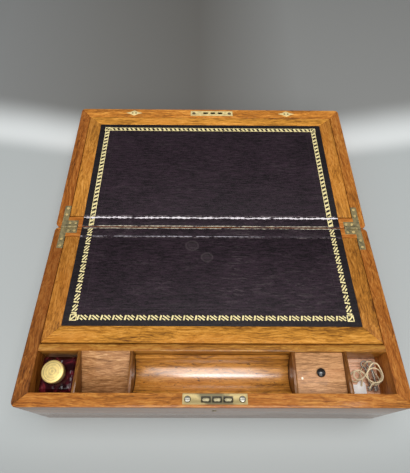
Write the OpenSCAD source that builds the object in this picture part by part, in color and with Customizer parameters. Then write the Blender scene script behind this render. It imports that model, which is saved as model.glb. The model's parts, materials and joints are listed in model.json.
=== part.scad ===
// Travelling writing case: two wedge-shaped halves that fold into one box, open as a sloping desk.
// Millimetres. The case stands on its base at Z = 0, lock side towards -Y, hinge side towards +Y.
// Lid pieces are drawn as they lie in the closed case and are then swung open about the hinge pins.

/* [Case] */
// Width of the case, side to side
case_w = 400; // [360:1:440]
// Depth of each half, lock side to hinge side
case_d = 220; // [205:1:245]
// Height of the closed case
case_h = 156; // [146:1:180]
// Height of the base at the lock side
front_h = 110; // [104:1:116]
// Height of the base at the hinge side
back_h = 78; // [72:1:84]
// Thickness of the side boards
side_t = 15; // [12:0.5:17]
// Thickness of the base's lock side board
base_front_t = 14; // [13:0.5:17]
// Thickness of the base's hinge side board
base_back_t = 15; // [13:0.5:17]
// Thickness of the lid's lock side board
lid_front_t = 18; // [14:0.5:20]
// Thickness of the lid's hinge side board
lid_back_t = 15; // [14:0.5:20]
// Thickness of the bottom and top boards
board_t = 8; // [5:0.5:10]
// Radius of the upright outer corners
corner_r = 6; // [2:0.5:9]
// Angle that the lid turns from closed to its stop
open_angle = 176.7; // [170:0.1:178]
// Gap between the rims of the closed case
rim_gap = 0.3; // [0.2:0.05:0.6]
// Distance of the hinge pins behind the back faces
pin_back = 0.3; // [0.2:0.05:0.6]

/* [Writing flaps] */
// Thickness of the flap boards
flap_t = 8; // [6:0.5:9]
// Width of the polished border either side of the leather
border_w = 18.2; // [12:0.1:24]
// Width of the base flap's border beside the pen compartments
base_end_border = 19; // [12:0.1:24]
// Width of the lid flap's border beside the link plate
lid_end_border = 16; // [12:0.1:24]
// Running gap round a flap
flap_gap = 0.8; // [0.4:0.1:1.2]
// Gap at a flap's leather hinge
crease_gap = 0.3; // [0.2:0.05:0.6]
// Thickness of the writing leather
leather_t = 0.8; // [0.5:0.1:1.5]
// Width of the ledges that carry the flaps
ledge_w = 5; // [3:0.5:7]
// Height of the ledges that carry the flaps
ledge_h = 8; // [5:0.5:10]

/* [Pen compartments] */
// Depth of the compartments, front to back
pen_d = 43; // [41:0.5:46]
// Thickness of the partition behind the compartments
partition_t = 7.5; // [5:0.5:10]
// Height of the compartment floor above the case's underside
floor_z = 66; // [62:0.5:68]
// Thickness of the compartment floor
floor_t = 6; // [4:0.5:8]
// Width of each end compartment
end_w = 42.75; // [41:0.25:46]
// Width of the two inner compartments
inner_w = 51.5; // [46:0.5:54]
// Thickness of the dividers
divider_t = 3.5; // [2.5:0.25:5]
// Thickness of the cover and of the sloping floor
cover_t = 4; // [3:0.5:5]
// Depth of the cover's top below the rim at the partition
cover_drop = 2.2; // [1.5:0.1:4]
// Clearance round the cover and the pen tray
loose_gap = 0.4; // [0.2:0.05:0.8]
// Width and height of the cleats under the cover
cleat = 3; // [2:0.5:4]
// Diameter of the cover's knob
knob_d = 10.4; // [7:0.1:12]
// Height of the cover's knob
knob_h = 4; // [3:0.1:4.5]
// Drop of the sloping floor from the partition to the front
slope_drop = 24; // [16:0.5:26]
// Height of the pen tray
tray_h = 22; // [18:0.5:24]
// Depth of the scoop in the pen tray
scoop_depth = 12; // [9:0.5:15]
// Width of the pen tray's two ledges
tray_ledge = 4; // [2:0.5:6]

/* [Inkwell] */
// Width of the square glass
glass_w = 36.5; // [30:0.5:38]
// Height of the glass
glass_h = 26; // [18:0.5:26.5]
// Width of the bevel round the glass's shoulder
glass_bevel = 3; // [1.5:0.25:4.5]
// Distance of the well and neck to the left of the glass's middle
neck_off = 3.25; // [0:0.25:4]
// Distance of the well and neck behind the glass's middle
neck_back = 1; // [0:0.25:2]
// Radius of the well
well_r = 8.5; // [6:0.25:9]
// Depth of the well
well_depth = 18; // [12:0.5:19]
// Radius of the brass collar
collar_r = 11.2; // [10.8:0.1:12]
// Radius of the collar's neck
neck_r = 10; // [9.8:0.1:10.3]
// Height of the neck
neck_h = 5; // [4:0.25:6]
// Thickness of the collar's flange
flange_t = 1.6; // [1:0.1:2]
// Height of the cap
cap_h = 7.5; // [6:0.25:7.75]
// Radius of the cap
cap_r = 11.6; // [11.2:0.1:13]
// Running clearance of the cap on the neck
cap_clear = 0.08; // [0.03:0.01:0.1]

/* [Lock] */
// Length of the lock plate and of the link plate
plate_l = 65; // [60:0.5:72]
// Width of the lock plate and of the link plate
plate_w = 10.6; // [8:0.1:12]
// Thickness of the plates
plate_t = 1.5; // [1:0.1:2]
// Wood left between the lock plate and the board's inner face
plate_edge = 0.4; // [0.2:0.1:1]
// Place of the lock across the case
lock_x = 2; // [-10:0.5:10]
// Place of the middle hook beside the plate's centre
hook_shift = 2; // [0:0.25:4]
// Distance between the hooks
hook_pitch = 11.2; // [10:0.1:13]
// Length of each slot for a hook
slot_l = 8; // [6:0.25:9]
// Width of each slot for a hook
slot_w = 4.4; // [4.2:0.1:6]
// Clearance of a hook in its slot
hook_clear = 0.4; // [0.2:0.05:0.6]
// Rise of the hooks when the lock is shot
hook_rise = 6; // [4:0.25:6.5]
// Length of the lock case
case_l = 50; // [44:0.5:54]
// Thickness of the lock case
lock_t = 8; // [7.5:0.25:9]
// Height of the lock case
lock_h = 34; // [32:0.5:40]
// Wall of the lock case
lock_wall = 1; // [0.8:0.1:1.2]
// Distance from the rim down to the keyhole
keyhole_down = 25; // [24:0.25:27]
// Width of the brass lining round the keyhole
escutcheon_w = 1.15; // [0.8:0.05:1.6]

/* [Fittings] */
// Distance of each plate screw from the plate's end
plate_screw_in = 5; // [4:0.25:7]
// Width of the hinge leaves
leaf_w = 7.5; // [6:0.25:9]
// Thickness of the hinge leaves
leaf_t = 1.2; // [0.8:0.1:1.6]
// Length of the leaf's leg along the back
leaf_across = 21; // [18:0.5:26]
// Length of the leaf's leg along the side, from the pin
leaf_along = 33; // [26:0.5:40]
// Radius of the hinge knuckles
knuckle_r = 2; // [1.6:0.1:2.6]
// Length of the hinge barrel
barrel_l = 20; // [12:0.5:21]
// Radius of the hinge pins
pin_r = 0.9; // [0.6:0.05:1.1]
// Running clearance on the hinge pins
pin_clear = 0.05; // [0.02:0.01:0.1]
// Clearance round the knuckles in the wood
knuckle_gap = 0.3; // [0.2:0.05:0.5]
// Radius of the small screw heads
screw_r = 1.9; // [1.5:0.1:2.3]
// Radius of the plate screws' heads
plate_screw_r = 2.7; // [2:0.1:3.2]
// Length of the screws
screw_l = 9; // [6:0.5:12]
// Length of the diamond plates
diamond_l = 26; // [20:0.5:32]
// Width of the diamond plates
diamond_w = 12; // [8:0.5:13]
// Place of the diamond plates either side of the middle
diamond_x = 118; // [100:1:130]

/* [Keys] */
// Length of a key
key_l = 29; // [26:0.5:32]
// Radius of a key's bow
bow_r = 4.2; // [3.8:0.1:4.3]
// Width of the ring that makes the bow
bow_w = 1.5; // [1.2:0.1:1.6]
// Radius of a key's shank
shank_r = 1.5; // [1.2:0.1:1.8]
// Reach of a key's bit from the shank's middle
bit_reach = 3.8; // [3:0.1:4]
// Thickness of the tag
tag_t = 0.6; // [0.4:0.1:1]

/* [Hidden] */
$fn = 48;

// Colours, as seen
wood = "#b0702c";
wood_inner = "#a8753f";
leather_colour = "#2b2029";
brass_colour = "#b99a4e";
steel_colour = "#8d8d88";

// Slope of the rims, and the length along it
slope = atan((front_h - back_h) / case_d);
rim_l = case_d / cos(slope);
// The hinge axis lies midway between the closed rims, just behind the backs
axis_y = case_d / 2 + pin_back;
axis_z = back_h - pin_back * tan(slope) + rim_gap / 2 / cos(slope);
axis_s = (axis_y + case_d / 2) / cos(slope) - rim_gap / 2 * tan(slope);
big = 2 * case_w;
eps = 0.01;

// Height of the base's rim at a place front to back
function rim_z(y) = front_h - (y + case_d / 2) * tan(slope);
// Distance along the rim from the lock side's outer edge, for a place front to back
function along(y) = (y + case_d / 2) / cos(slope);

// Inner faces and the two leather hinges, as places front to back
front_y = -case_d / 2 + base_front_t;
back_y = case_d / 2 - base_back_t;
lid_front_y = -case_d / 2 + lid_front_t;
lid_back_y = case_d / 2 - lid_back_t;
inner_x = case_w / 2 - side_t;
pen_back_y = front_y + pen_d;
partition_y = pen_back_y + partition_t;

// Flaps, along the rim. A flap's ends are square to the rim and the boards are upright, so the
// end that leans towards its neighbour is set back by the lean
lean = flap_t * sin(slope);
base_flap_s = [along(partition_y) + flap_gap + lean, along(back_y)];
lid_flap_s = [along(lid_front_y) + flap_gap, along(lid_back_y) - lean - flap_gap / 2];
flap_x = inner_x - flap_gap;
leather_x = flap_x - border_w;

// Compartments across the case
divider_x = [-inner_x + end_w, -inner_x + end_w + divider_t + inner_w];
tray_x = -divider_x[1] - divider_t;
cover_z = rim_z(pen_back_y) - cover_drop;
tilt = atan(slope_drop / pen_d);

// Inkwell, standing in the left end compartment
glass_at = [-inner_x + end_w / 2 + 0.5, front_y + pen_d / 2 - 0.5];
well_at = glass_at + [-neck_off, neck_back];
neck_z = floor_z + glass_h;

// Lock, upright in the lock side board, its hooks passing both plates
lock_y = front_y - base_front_t / 2 + 1;
lock_top = rim_z(lock_y + lock_t / 2) - 2;
plate_s = along(front_y) - plate_edge - plate_w / 2;
link_s = along(lid_front_y - lid_front_t / 2);
keyhole_z = front_h - keyhole_down;
cam_r = 3;
cam_nose = cam_r + hook_rise - 2;
cam_t = 2.4;
post_r = 1.15;

// Draw in the plane of the base's rim: X across, Y along the slope from the lock side, Z out
module on_rim() {
  translate([0, -case_d / 2, front_h]) rotate([-slope, 0, 0]) children();
}

// The same for the lid's rim in the closed case, Z into the lid
module on_lid_rim() {
  on_rim() translate([0, 0, rim_gap]) children();
}

// Swing a piece of the closed lid open about the hinge pins
module open_lid() {
  translate([0, axis_y, axis_z])
    rotate([-open_angle, 0, 0])
      translate([0, -axis_y, -axis_z])
        children();
}

module both_sides() {
  children();
  mirror([1, 0, 0]) children();
}

// A box from its two corners
module block(low, high) {
  translate(low) cube(high - low);
}

// Outline of the case with rounded upright corners
module case_outline() {
  square([case_w - 2 * corner_r, case_d], center = true);
  square([case_w, case_d - 2 * corner_r], center = true);
  for (x = [-1, 1], y = [-1, 1])
    translate([x * (case_w / 2 - corner_r), y * (case_d / 2 - corner_r)])
      circle(r = corner_r);
}

// A board of the case with mitred ends: front and back from low_y to high_y, full height
module mitred_board(outer_y, inner_y, height) {
  linear_extrude(height)
    intersection() {
      case_outline();
      polygon([[-case_w / 2, outer_y], [case_w / 2, outer_y],
        [inner_x, inner_y], [-inner_x, inner_y]]);
    }
}

// The left board, mitred to a front and a back board
module side_board(front_inner, back_inner, height) {
  linear_extrude(height)
    intersection() {
      case_outline();
      polygon([[-case_w / 2, -case_d / 2], [-inner_x, front_inner],
        [-inner_x, back_inner], [-case_w / 2, case_d / 2]]);
    }
}

// Everything under the base's rim, and everything above the closed lid's rim
module under_rim() {
  on_rim() translate([-big / 2, -big / 2, -big]) cube([big, 2 * big, big]);
}

module over_rim() {
  on_lid_rim() translate([-big / 2, -big / 2, 0]) cube([big, 2 * big, big]);
}

// Left leaf of a hinge as an L, in the plane of a rim, its top at Z = 0
leaf_x = inner_x + leaf_w;
leaf_end = rim_l - leaf_along;
leaf_top = axis_s - knuckle_r;
barrel_in = 0.5;
barrel_x = [-leaf_x + barrel_in, -leaf_x + barrel_in + barrel_l];

module leaf_shape(grow) {
  translate([-leaf_x - grow, leaf_end - grow, -leaf_t - grow])
    cube([leaf_w + 2 * grow, leaf_along + pin_back + grow, leaf_t + grow + eps]);
  translate([-leaf_x - grow, rim_l - knuckle_r - leaf_w - grow, -leaf_t - grow])
    cube([leaf_across + 2 * grow, leaf_w + knuckle_r + pin_back + grow, leaf_t + grow + eps]);
}

// Screw places on a leaf: two along the side, two along the back
screw_in = 4;
back_screw_in = 3.5;
side_screw_pitch = 10;
back_screw_pitch = 7.5;
side_screw_x = -leaf_x + leaf_w / 2;
back_screw_x = -leaf_x + leaf_across - back_screw_in;
back_screw_s = rim_l - knuckle_r - leaf_w / 2;
leaf_screws = [[side_screw_x, leaf_end + screw_in],
  [side_screw_x, leaf_end + screw_in + side_screw_pitch],
  [back_screw_x - back_screw_pitch, back_screw_s],
  [back_screw_x, back_screw_s]];

// A slotted flat-headed screw, its head's top at Z = 0
module screw(head_r, head_t, length) {
  difference() {
    union() {
      translate([0, 0, -head_t]) cylinder(r = head_r, h = head_t);
      translate([0, 0, -length]) cylinder(r = head_r / 2, h = length - head_t + eps);
    }
    translate([-head_r, -0.3, -0.35]) cube([2 * head_r, 0.6, 1]);
  }
}

// The holes that a screw needs
module screw_hole(head_r, head_t, length) {
  translate([0, 0, -head_t]) cylinder(r = head_r + 0.05, h = head_t + 1);
  translate([0, 0, -length - 0.2]) cylinder(r = head_r / 2 + 0.05, h = length);
}

module at_leaf_screws() {
  both_sides() for (p = leaf_screws) translate([p[0], p[1], 0]) children();
}

// Space round the barrel along both rims, between two places across the left hinge
module barrel_space(x0, x1, r) {
  translate([x0, axis_s, 0])
    rotate([0, 90, 0]) cylinder(r = r, h = x1 - x0);
}

// Wood that the hinge leaves, their screws and the barrels take away, drawn at either rim
module hinge_recess(up) {
  both_sides() {
    leaf_shape(0.05);
    translate([0, 0, up])
      barrel_space(barrel_x[0] - knuckle_gap, barrel_x[1] + knuckle_gap, knuckle_r + knuckle_gap);
  }
  at_leaf_screws() screw_hole(screw_r, leaf_t, screw_l);
}

// Leather rebate on the hinge rail
module rail_rebate(low_s) {
  translate([-leather_x - 0.05, low_s - 1, -leather_t])
    cube([2 * leather_x + 0.1, rim_l - low_s + 3, leather_t + 1]);
}

// A leather strip on the hinge rail, its face at Z = 0
module rail_leather(low_s) {
  color(leather_colour)
    translate([-leather_x, low_s + crease_gap / 2, -leather_t])
      cube([2 * leather_x, rim_l - 0.4 - low_s - crease_gap / 2, leather_t]);
}

// Lock plate and link plate places across the case
hook_x = [for (i = [-1, 0, 1]) lock_x + hook_shift + i * hook_pitch];
plate_screw_x = [lock_x - plate_l / 2 + plate_screw_in, lock_x + plate_l / 2 - plate_screw_in];

// A plate with its screw holes, its face at Z = 0
module drilled_plate(s) {
  difference() {
    translate([lock_x - plate_l / 2, s - plate_w / 2, -plate_t]) cube([plate_l, plate_w, plate_t]);
    for (x = plate_screw_x) translate([x, s, 0]) screw_hole(plate_screw_r, plate_t + 1, screw_l);
  }
}

// Upright slots for the hooks, from low_z to high_z
module hook_slots(grow, low_z, high_z) {
  for (x = hook_x)
    translate([x, lock_y, low_z]) slot_cut(slot_l + 2 * grow, slot_w + 2 * grow, high_z - low_z);
}

// An upright slot with round ends
module slot_cut(length, width, height) {
  linear_extrude(height) {
    square([length - width, width], center = true);
    for (x = [-1, 1]) translate([x * (length - width) / 2, 0]) circle(d = width);
  }
}

// Recess for a plate, with its screw holes
module plate_recess(s) {
  translate([lock_x - plate_l / 2 - 0.05, s - plate_w / 2 - 0.05, -plate_t])
    cube([plate_l + 0.1, plate_w + 0.1, plate_t + 1]);
  for (x = plate_screw_x) translate([x, s, 0]) screw_hole(plate_screw_r, plate_t, screw_l);
}

// Keyhole outline, seen from the front, its round part centred
keyhole_r = 2.2;
keyhole_slot = 7;

module keyhole_outline(grow) {
  circle(r = keyhole_r + grow);
  translate([-keyhole_r / 2 - grow, -keyhole_slot - grow])
    square([keyhole_r + 2 * grow, keyhole_slot + grow]);
}

module keyhole_cut(grow, depth) {
  translate([lock_x, -case_d / 2 - 1, keyhole_z])
    rotate([90, 0, 0]) mirror([0, 0, 1]) linear_extrude(depth + 1) keyhole_outline(grow);
}

// The lock's outside, grown by a clearance on all sides
module lock_block(grow, top) {
  block([lock_x - case_l / 2 - grow, lock_y - lock_t / 2 - grow, lock_top - lock_h - grow],
    [lock_x + case_l / 2 + grow, lock_y + lock_t / 2 + grow, top]);
}

module base_front_board() {
  color(wood)
    difference() {
      intersection() {
        mitred_board(-case_d / 2, front_y, front_h);
        under_rim();
      }
      on_rim() plate_recess(plate_s);
      lock_block(0.1, front_h + 1);
      keyhole_cut(escutcheon_w + 0.05, base_front_t / 2);
    }
}

module base_back_board() {
  color(wood)
    difference() {
      intersection() {
        mitred_board(case_d / 2, back_y, front_h);
        under_rim();
      }
      on_rim() {
        hinge_recess(rim_gap / 2);
        rail_rebate(base_flap_s[1]);
      }
    }
}

module base_left_board() {
  color(wood)
    difference() {
      intersection() {
        side_board(front_y, back_y, front_h);
        under_rim();
      }
      on_rim() hinge_recess(rim_gap / 2);
    }
}

module base_right_board() {
  mirror([1, 0, 0]) base_left_board();
}

module base_bottom_board() {
  color(wood_inner) block([-inner_x, front_y, 0], [inner_x, back_y, board_t]);
}

module base_partition() {
  color(wood)
    intersection() {
      block([-inner_x, pen_back_y, floor_z], [inner_x, partition_y, front_h]);
      under_rim();
    }
}

module compartment_floor() {
  color(wood_inner) block([-inner_x, front_y, floor_z - floor_t], [inner_x, partition_y, floor_z]);
}

// The dividers beside the tray are level, the outer ones follow the rim
module compartment_dividers() {
  tops = [front_h, rim_z(pen_back_y)];
  color(wood)
    intersection() {
      both_sides()
        for (i = [0, 1])
          block([divider_x[i], front_y, floor_z], [divider_x[i] + divider_t, pen_back_y, tops[i]]);
      under_rim();
    }
}

// Cleats on the dividers either side of the cover
cleat_top = cover_z - cover_t;
cover_x = [-divider_x[1], -divider_x[0] - divider_t];

module cover_cleats() {
  color(wood_inner)
    for (x = [cover_x[0], cover_x[1] - cleat])
      block([x, front_y, cleat_top - cleat], [x + cleat, pen_back_y, cleat_top]);
}

// Sloping floor beside the inkwell, flush with the rim at the partition and low at the front
module sloped_floor() {
  color(wood)
    intersection() {
      translate([-cover_x[1], pen_back_y, rim_z(pen_back_y)])
        rotate([tilt, 0, 0])
          translate([0, -2 * pen_d, -cover_t])
            cube([inner_w, 2 * pen_d + 10, cover_t]);
      block([-cover_x[1], front_y, floor_z], [-cover_x[0], pen_back_y, front_h]);
      under_rim();
    }
}

// Ledges under a flap, between two places along the rim: both sides and the far end
module flap_ledges(low_s, high_s) {
  for (x = [-inner_x, inner_x - ledge_w])
    translate([x, low_s, -flap_t - ledge_h]) cube([ledge_w, high_s - low_s, ledge_h]);
  translate([-inner_x + ledge_w, low_s, -flap_t - ledge_h])
    cube([2 * inner_x - 2 * ledge_w, ledge_w, ledge_h]);
}

module base_flap_ledges() {
  color(wood_inner)
    difference() {
      on_rim() flap_ledges(along(partition_y), base_flap_s[1]);
      block([-big / 2, partition_y - big, 0], [big / 2, partition_y, front_h]);
    }
}

module base_rail_leather() {
  on_rim() rail_leather(base_flap_s[1]);
}

module lock_case() {
  color(brass_colour) {
    difference() {
      lock_block(0, lock_top);
      lock_block(-lock_wall, front_h);
      keyhole_cut(0, base_front_t / 2);
    }
    // Post that the cam turns on and the key's pipe fits over
    translate([lock_x, lock_y + lock_t / 2 - lock_wall / 2, keyhole_z])
      rotate([90, 0, 0]) cylinder(r = post_r, h = lock_t - lock_wall * 2.5);
  }
}

module lock_plate() {
  color(brass_colour)
    difference() {
      on_rim() drilled_plate(plate_s);
      hook_slots(0, lock_top - 4, front_h);
    }
}

module plate_screws(s) {
  color(brass_colour)
    for (x = plate_screw_x) translate([x, s, 0]) screw(plate_screw_r, plate_t, screw_l);
}

module lock_plate_screws() {
  on_rim() plate_screws(plate_s);
}

module keyhole_escutcheon() {
  color(brass_colour)
    translate([lock_x, -case_d / 2, keyhole_z])
      rotate([90, 0, 0]) mirror([0, 0, 1])
        linear_extrude(2)
          difference() {
            keyhole_outline(escutcheon_w);
            keyhole_outline(0);
          }
}

// Hinge leaf with its knuckles: own lists the knuckles along the barrel that it carries
knuckle_l = barrel_l / 3;

module hinge_leaf(own, other, up, bore) {
  difference() {
    union() {
      difference() {
        intersection() {
          leaf_shape(0);
          translate([-big / 2, 0, -leaf_t]) cube([big, leaf_top + knuckle_r * 0.6, leaf_t]);
        }
        for (i = other)
          translate([0, 0, up])
            barrel_space(barrel_x[0] + i * knuckle_l - 0.2, barrel_x[0] + (i + 1) * knuckle_l + 0.2,
              knuckle_r + 0.25);
        for (p = leaf_screws) translate([p[0], p[1], 0]) screw_hole(screw_r, leaf_t, screw_l);
      }
      for (i = own)
        translate([0, 0, up])
          barrel_space(barrel_x[0] + i * knuckle_l + 0.1, barrel_x[0] + (i + 1) * knuckle_l - 0.1,
            knuckle_r);
    }
    translate([0, 0, up]) barrel_space(barrel_x[0] - 1, barrel_x[1] + 1, bore);
  }
}

module base_hinge_leaves() {
  color(brass_colour)
    on_rim() both_sides() hinge_leaf([0, 2], [1], rim_gap / 2, pin_r + 0.02);
}

module hinge_pins() {
  color(brass_colour)
    on_rim() both_sides()
      translate([0, 0, rim_gap / 2]) barrel_space(barrel_x[0] + 0.2, barrel_x[1] - 0.2, pin_r);
}

module leaf_screw_set() {
  color(brass_colour) at_leaf_screws() screw(screw_r, leaf_t, screw_l);
}

module base_hinge_screws() {
  on_rim() leaf_screw_set();
}

// Turn over, so that a piece drawn for the base's rim suits the lid's rim
module on_lid_face() {
  on_lid_rim() mirror([0, 0, 1]) children();
}

module lid_front_board() {
  color(wood)
    open_lid()
      difference() {
        intersection() {
          mitred_board(-case_d / 2, lid_front_y, case_h);
          over_rim();
        }
        on_lid_face() {
          plate_recess(link_s);
          for (x = [-diamond_x, diamond_x]) translate([x, link_s, 0]) diamond_recess();
        }
        hook_slots(0.3, lock_top, front_h + hook_rise + 2);
      }
}

module lid_back_board() {
  color(wood)
    open_lid()
      difference() {
        intersection() {
          mitred_board(case_d / 2, lid_back_y, case_h);
          over_rim();
        }
        on_lid_face() {
          hinge_recess(rim_gap / 2);
          rail_rebate(lid_flap_s[1]);
        }
      }
}

module closed_lid_side() {
  difference() {
    intersection() {
      side_board(lid_front_y, lid_back_y, case_h);
      over_rim();
    }
    on_lid_face() hinge_recess(rim_gap / 2);
  }
}

module lid_left_board() {
  color(wood) open_lid() closed_lid_side();
}

module lid_right_board() {
  color(wood) open_lid() mirror([1, 0, 0]) closed_lid_side();
}

module lid_top_board() {
  color(wood_inner)
    open_lid()
      block([-inner_x, lid_front_y, case_h - board_t], [inner_x, lid_back_y, case_h]);
}

module lid_flap_ledges() {
  color(wood_inner)
    open_lid()
      difference() {
        on_lid_face() flap_ledges(along(lid_front_y) - ledge_w / 2, lid_flap_s[1] - ledge_w);
        block([-big / 2, lid_front_y - big, 0], [big / 2, lid_front_y, case_h]);
      }
}

module lid_rail_leather() {
  open_lid() on_lid_face() rail_leather(lid_flap_s[1]);
}

module link_plate() {
  color(brass_colour)
    open_lid()
      difference() {
        on_lid_face() drilled_plate(link_s);
        hook_slots(0, lock_top, front_h + 4);
      }
}

module link_plate_screws() {
  open_lid() on_lid_face() plate_screws(link_s);
}

// Diamond plate: a broad lozenge drawn out to two thin points
module diamond_outline(grow) {
  polygon([[-diamond_l / 2 - grow, 0], [-diamond_l / 4, -diamond_w / 6 - grow],
    [0, -diamond_w / 2 - grow], [diamond_l / 4, -diamond_w / 6 - grow],
    [diamond_l / 2 + grow, 0], [diamond_l / 4, diamond_w / 6 + grow],
    [0, diamond_w / 2 + grow], [-diamond_l / 4, diamond_w / 6 + grow]]);
}

diamond_screw_x = [-2.6, 2.6];
diamond_screw_r = 1.3;

module diamond_recess() {
  translate([0, 0, -leaf_t]) linear_extrude(leaf_t + 1) diamond_outline(0.05);
  for (x = diamond_screw_x) translate([x, 0, 0]) screw_hole(diamond_screw_r, leaf_t, screw_l);
}

module diamond_plates() {
  color(brass_colour)
    open_lid() on_lid_face()
      for (x = [-diamond_x, diamond_x])
        translate([x, link_s, 0])
          difference() {
            translate([0, 0, -leaf_t]) linear_extrude(leaf_t) diamond_outline(0);
            for (d = diamond_screw_x) translate([d, 0, 0]) screw_hole(diamond_screw_r, leaf_t, screw_l);
          }
}

module diamond_screws() {
  color(steel_colour)
    open_lid() on_lid_face()
      for (x = [-diamond_x, diamond_x], d = diamond_screw_x)
        translate([x + d, link_s, 0]) screw(diamond_screw_r, leaf_t, screw_l);
}

module lid_hinge_leaves() {
  color(brass_colour)
    open_lid() on_lid_face() both_sides()
      hinge_leaf([1], [0, 2], rim_gap / 2, pin_r + pin_clear);
}

module lid_hinge_screws() {
  open_lid() on_lid_face() leaf_screw_set();
}

// Flap panel under the leather, flap border and leather, with the face at Z = 0
function leather_s(flap_s, end_border) = [flap_s[0] + end_border, flap_s[1] - crease_gap / 2];

module flap_panel(flap_s, end_border) {
  s = leather_s(flap_s, end_border);
  color(wood_inner)
    translate([-leather_x, s[0], -flap_t]) cube([2 * leather_x, s[1] - s[0], flap_t - leather_t]);
}

module flap_border(flap_s, end_border) {
  s = leather_s(flap_s, end_border);
  color(wood)
    translate([0, 0, -flap_t])
      difference() {
        translate([-flap_x, flap_s[0], 0]) cube([2 * flap_x, s[1] - flap_s[0], flap_t]);
        translate([-leather_x, s[0], -1]) cube([2 * leather_x, s[1] - s[0] + 1, flap_t + 2]);
      }
}

module flap_leather(flap_s, end_border) {
  s = leather_s(flap_s, end_border);
  color(leather_colour)
    translate([-leather_x, s[0], -leather_t]) cube([2 * leather_x, s[1] - s[0], leather_t]);
}

module base_flap_panel() {
  on_rim() flap_panel(base_flap_s, base_end_border);
}

module base_flap_border() {
  on_rim() flap_border(base_flap_s, base_end_border);
}

module base_flap_leather() {
  on_rim() flap_leather(base_flap_s, base_end_border);
}

module lid_flap_panel() {
  open_lid() on_lid_face() flap_panel(lid_flap_s, lid_end_border);
}

module lid_flap_border() {
  open_lid() on_lid_face() flap_border(lid_flap_s, lid_end_border);
}

module lid_flap_leather() {
  open_lid() on_lid_face() flap_leather(lid_flap_s, lid_end_border);
}

// Three hooks on one bar inside the lock case, their noses just below the plate's face
bar_h = 5;
bar_half = lock_t / 2 - lock_wall - 0.3;
bar_z = keyhole_z + cam_r + 0.3;
hook_top = rim_z(lock_y) - 0.8;

module lock_hooks() {
  color(steel_colour) {
    block([hook_x[0] - slot_l / 2, lock_y - bar_half, bar_z],
      [hook_x[2] + slot_l / 2, lock_y + bar_half, bar_z + bar_h]);
    hook_slots(-hook_clear, bar_z + bar_h / 2, hook_top);
  }
}

// Cam that the key turns under the bar, its nose on one side at rest
module lock_cam() {
  color(brass_colour)
    translate([lock_x, lock_y - cam_t / 2, keyhole_z])
      rotate([-90, 0, 0])
        linear_extrude(cam_t)
          difference() {
            union() {
              circle(r = cam_r);
              translate([0, -1]) square([cam_nose, 2]);
            }
            circle(r = post_r + pin_clear);
          }
}

// Pen tray: a block with a scoop along it
module pen_tray() {
  scoop_w = pen_d - 2 * loose_gap - 2 * tray_ledge;
  scoop_r = (scoop_w * scoop_w / 4 + scoop_depth * scoop_depth) / (2 * scoop_depth);
  color(wood)
    difference() {
      block([-tray_x + loose_gap, front_y + loose_gap, floor_z],
        [tray_x - loose_gap, pen_back_y - loose_gap, floor_z + tray_h]);
      translate([-tray_x - 1, front_y + pen_d / 2, floor_z + tray_h - scoop_depth + scoop_r])
        rotate([0, 90, 0]) cylinder(r = scoop_r, h = 2 * tray_x + 2, $fn = 96);
    }
}

module pen_cover() {
  color(wood)
    block([cover_x[0] + loose_gap, front_y + loose_gap, cleat_top],
      [cover_x[1] - loose_gap, pen_back_y - loose_gap, cover_z]);
}

// Turned knob: a low dome on a short foot
module cover_knob() {
  foot_r = knob_d * 0.3;
  foot_h = knob_h * 0.25;
  color("#15110f")
    translate([(cover_x[0] + cover_x[1]) / 2, front_y + pen_d / 2, cover_z])
      rotate_extrude() {
        square([foot_r, foot_h + eps]);
        intersection() {
          translate([0, knob_h - knob_d / 2]) circle(d = knob_d);
          translate([0, foot_h]) square([knob_d, knob_h - foot_h]);
        }
      }
}

// Square glass block with bevelled shoulders and upright edges, and a round well
module inkwell_glass() {
  half = glass_w / 2;
  edge = half - glass_bevel / 2;
  color("#3a1420")
    translate([glass_at[0], glass_at[1], floor_z])
      difference() {
        intersection() {
          linear_extrude(glass_h)
            polygon([[-half, -edge], [-edge, -half], [edge, -half], [half, -edge],
              [half, edge], [edge, half], [-edge, half], [-half, edge]]);
          shoulder(half);
          rotate([0, 0, 90]) shoulder(half);
        }
        translate([-neck_off, neck_back, glass_h - well_depth]) cylinder(r = well_r, h = well_depth + 1);
      }
}

// A bar along X that leans in at the shoulder
module shoulder(half) {
  rotate([90, 0, 90])
    linear_extrude(glass_w * 2, center = true)
      polygon([[-half, 0], [half, 0], [half, glass_h - glass_bevel],
        [half - glass_bevel, glass_h], [glass_bevel - half, glass_h], [-half, glass_h - glass_bevel]]);
}

module inkwell_collar() {
  color(brass_colour)
    translate([well_at[0], well_at[1], neck_z])
      difference() {
        union() {
          cylinder(r = collar_r, h = flange_t);
          cylinder(r = neck_r, h = neck_h);
        }
        translate([0, 0, -1]) cylinder(r = well_r, h = neck_h + 2);
      }
}

// Cap: a cup with a slightly domed top, resting on the neck through a leather washer
washer_t = 1;
cap_dome = 60;
cap_z = neck_z + flange_t + 0.3;
cap_hollow = neck_z + neck_h + washer_t - cap_z;

module cap_washer() {
  color("#7a5a3a")
    translate([well_at[0], well_at[1], neck_z + neck_h]) cylinder(r = neck_r - 0.3, h = washer_t);
}

module inkwell_cap() {
  color(brass_colour)
    translate([well_at[0], well_at[1], cap_z])
      difference() {
        intersection() {
          cylinder(r = cap_r, h = cap_h);
          translate([0, 0, cap_h - cap_dome]) sphere(r = cap_dome, $fn = 96);
        }
        translate([0, 0, -1]) cylinder(r = neck_r + cap_clear, h = cap_hollow + 1);
      }
}

// Keys lie across the right end compartment, bows up towards the partition on the string
key_at = [[169.2, -60.5, 8.2], [175, -61, 10.8]];
key_turn = [13, 12];
key_tip = 13;

bit_w = 5;
bit_t = 1.4;
bow_t = 1.8;

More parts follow.
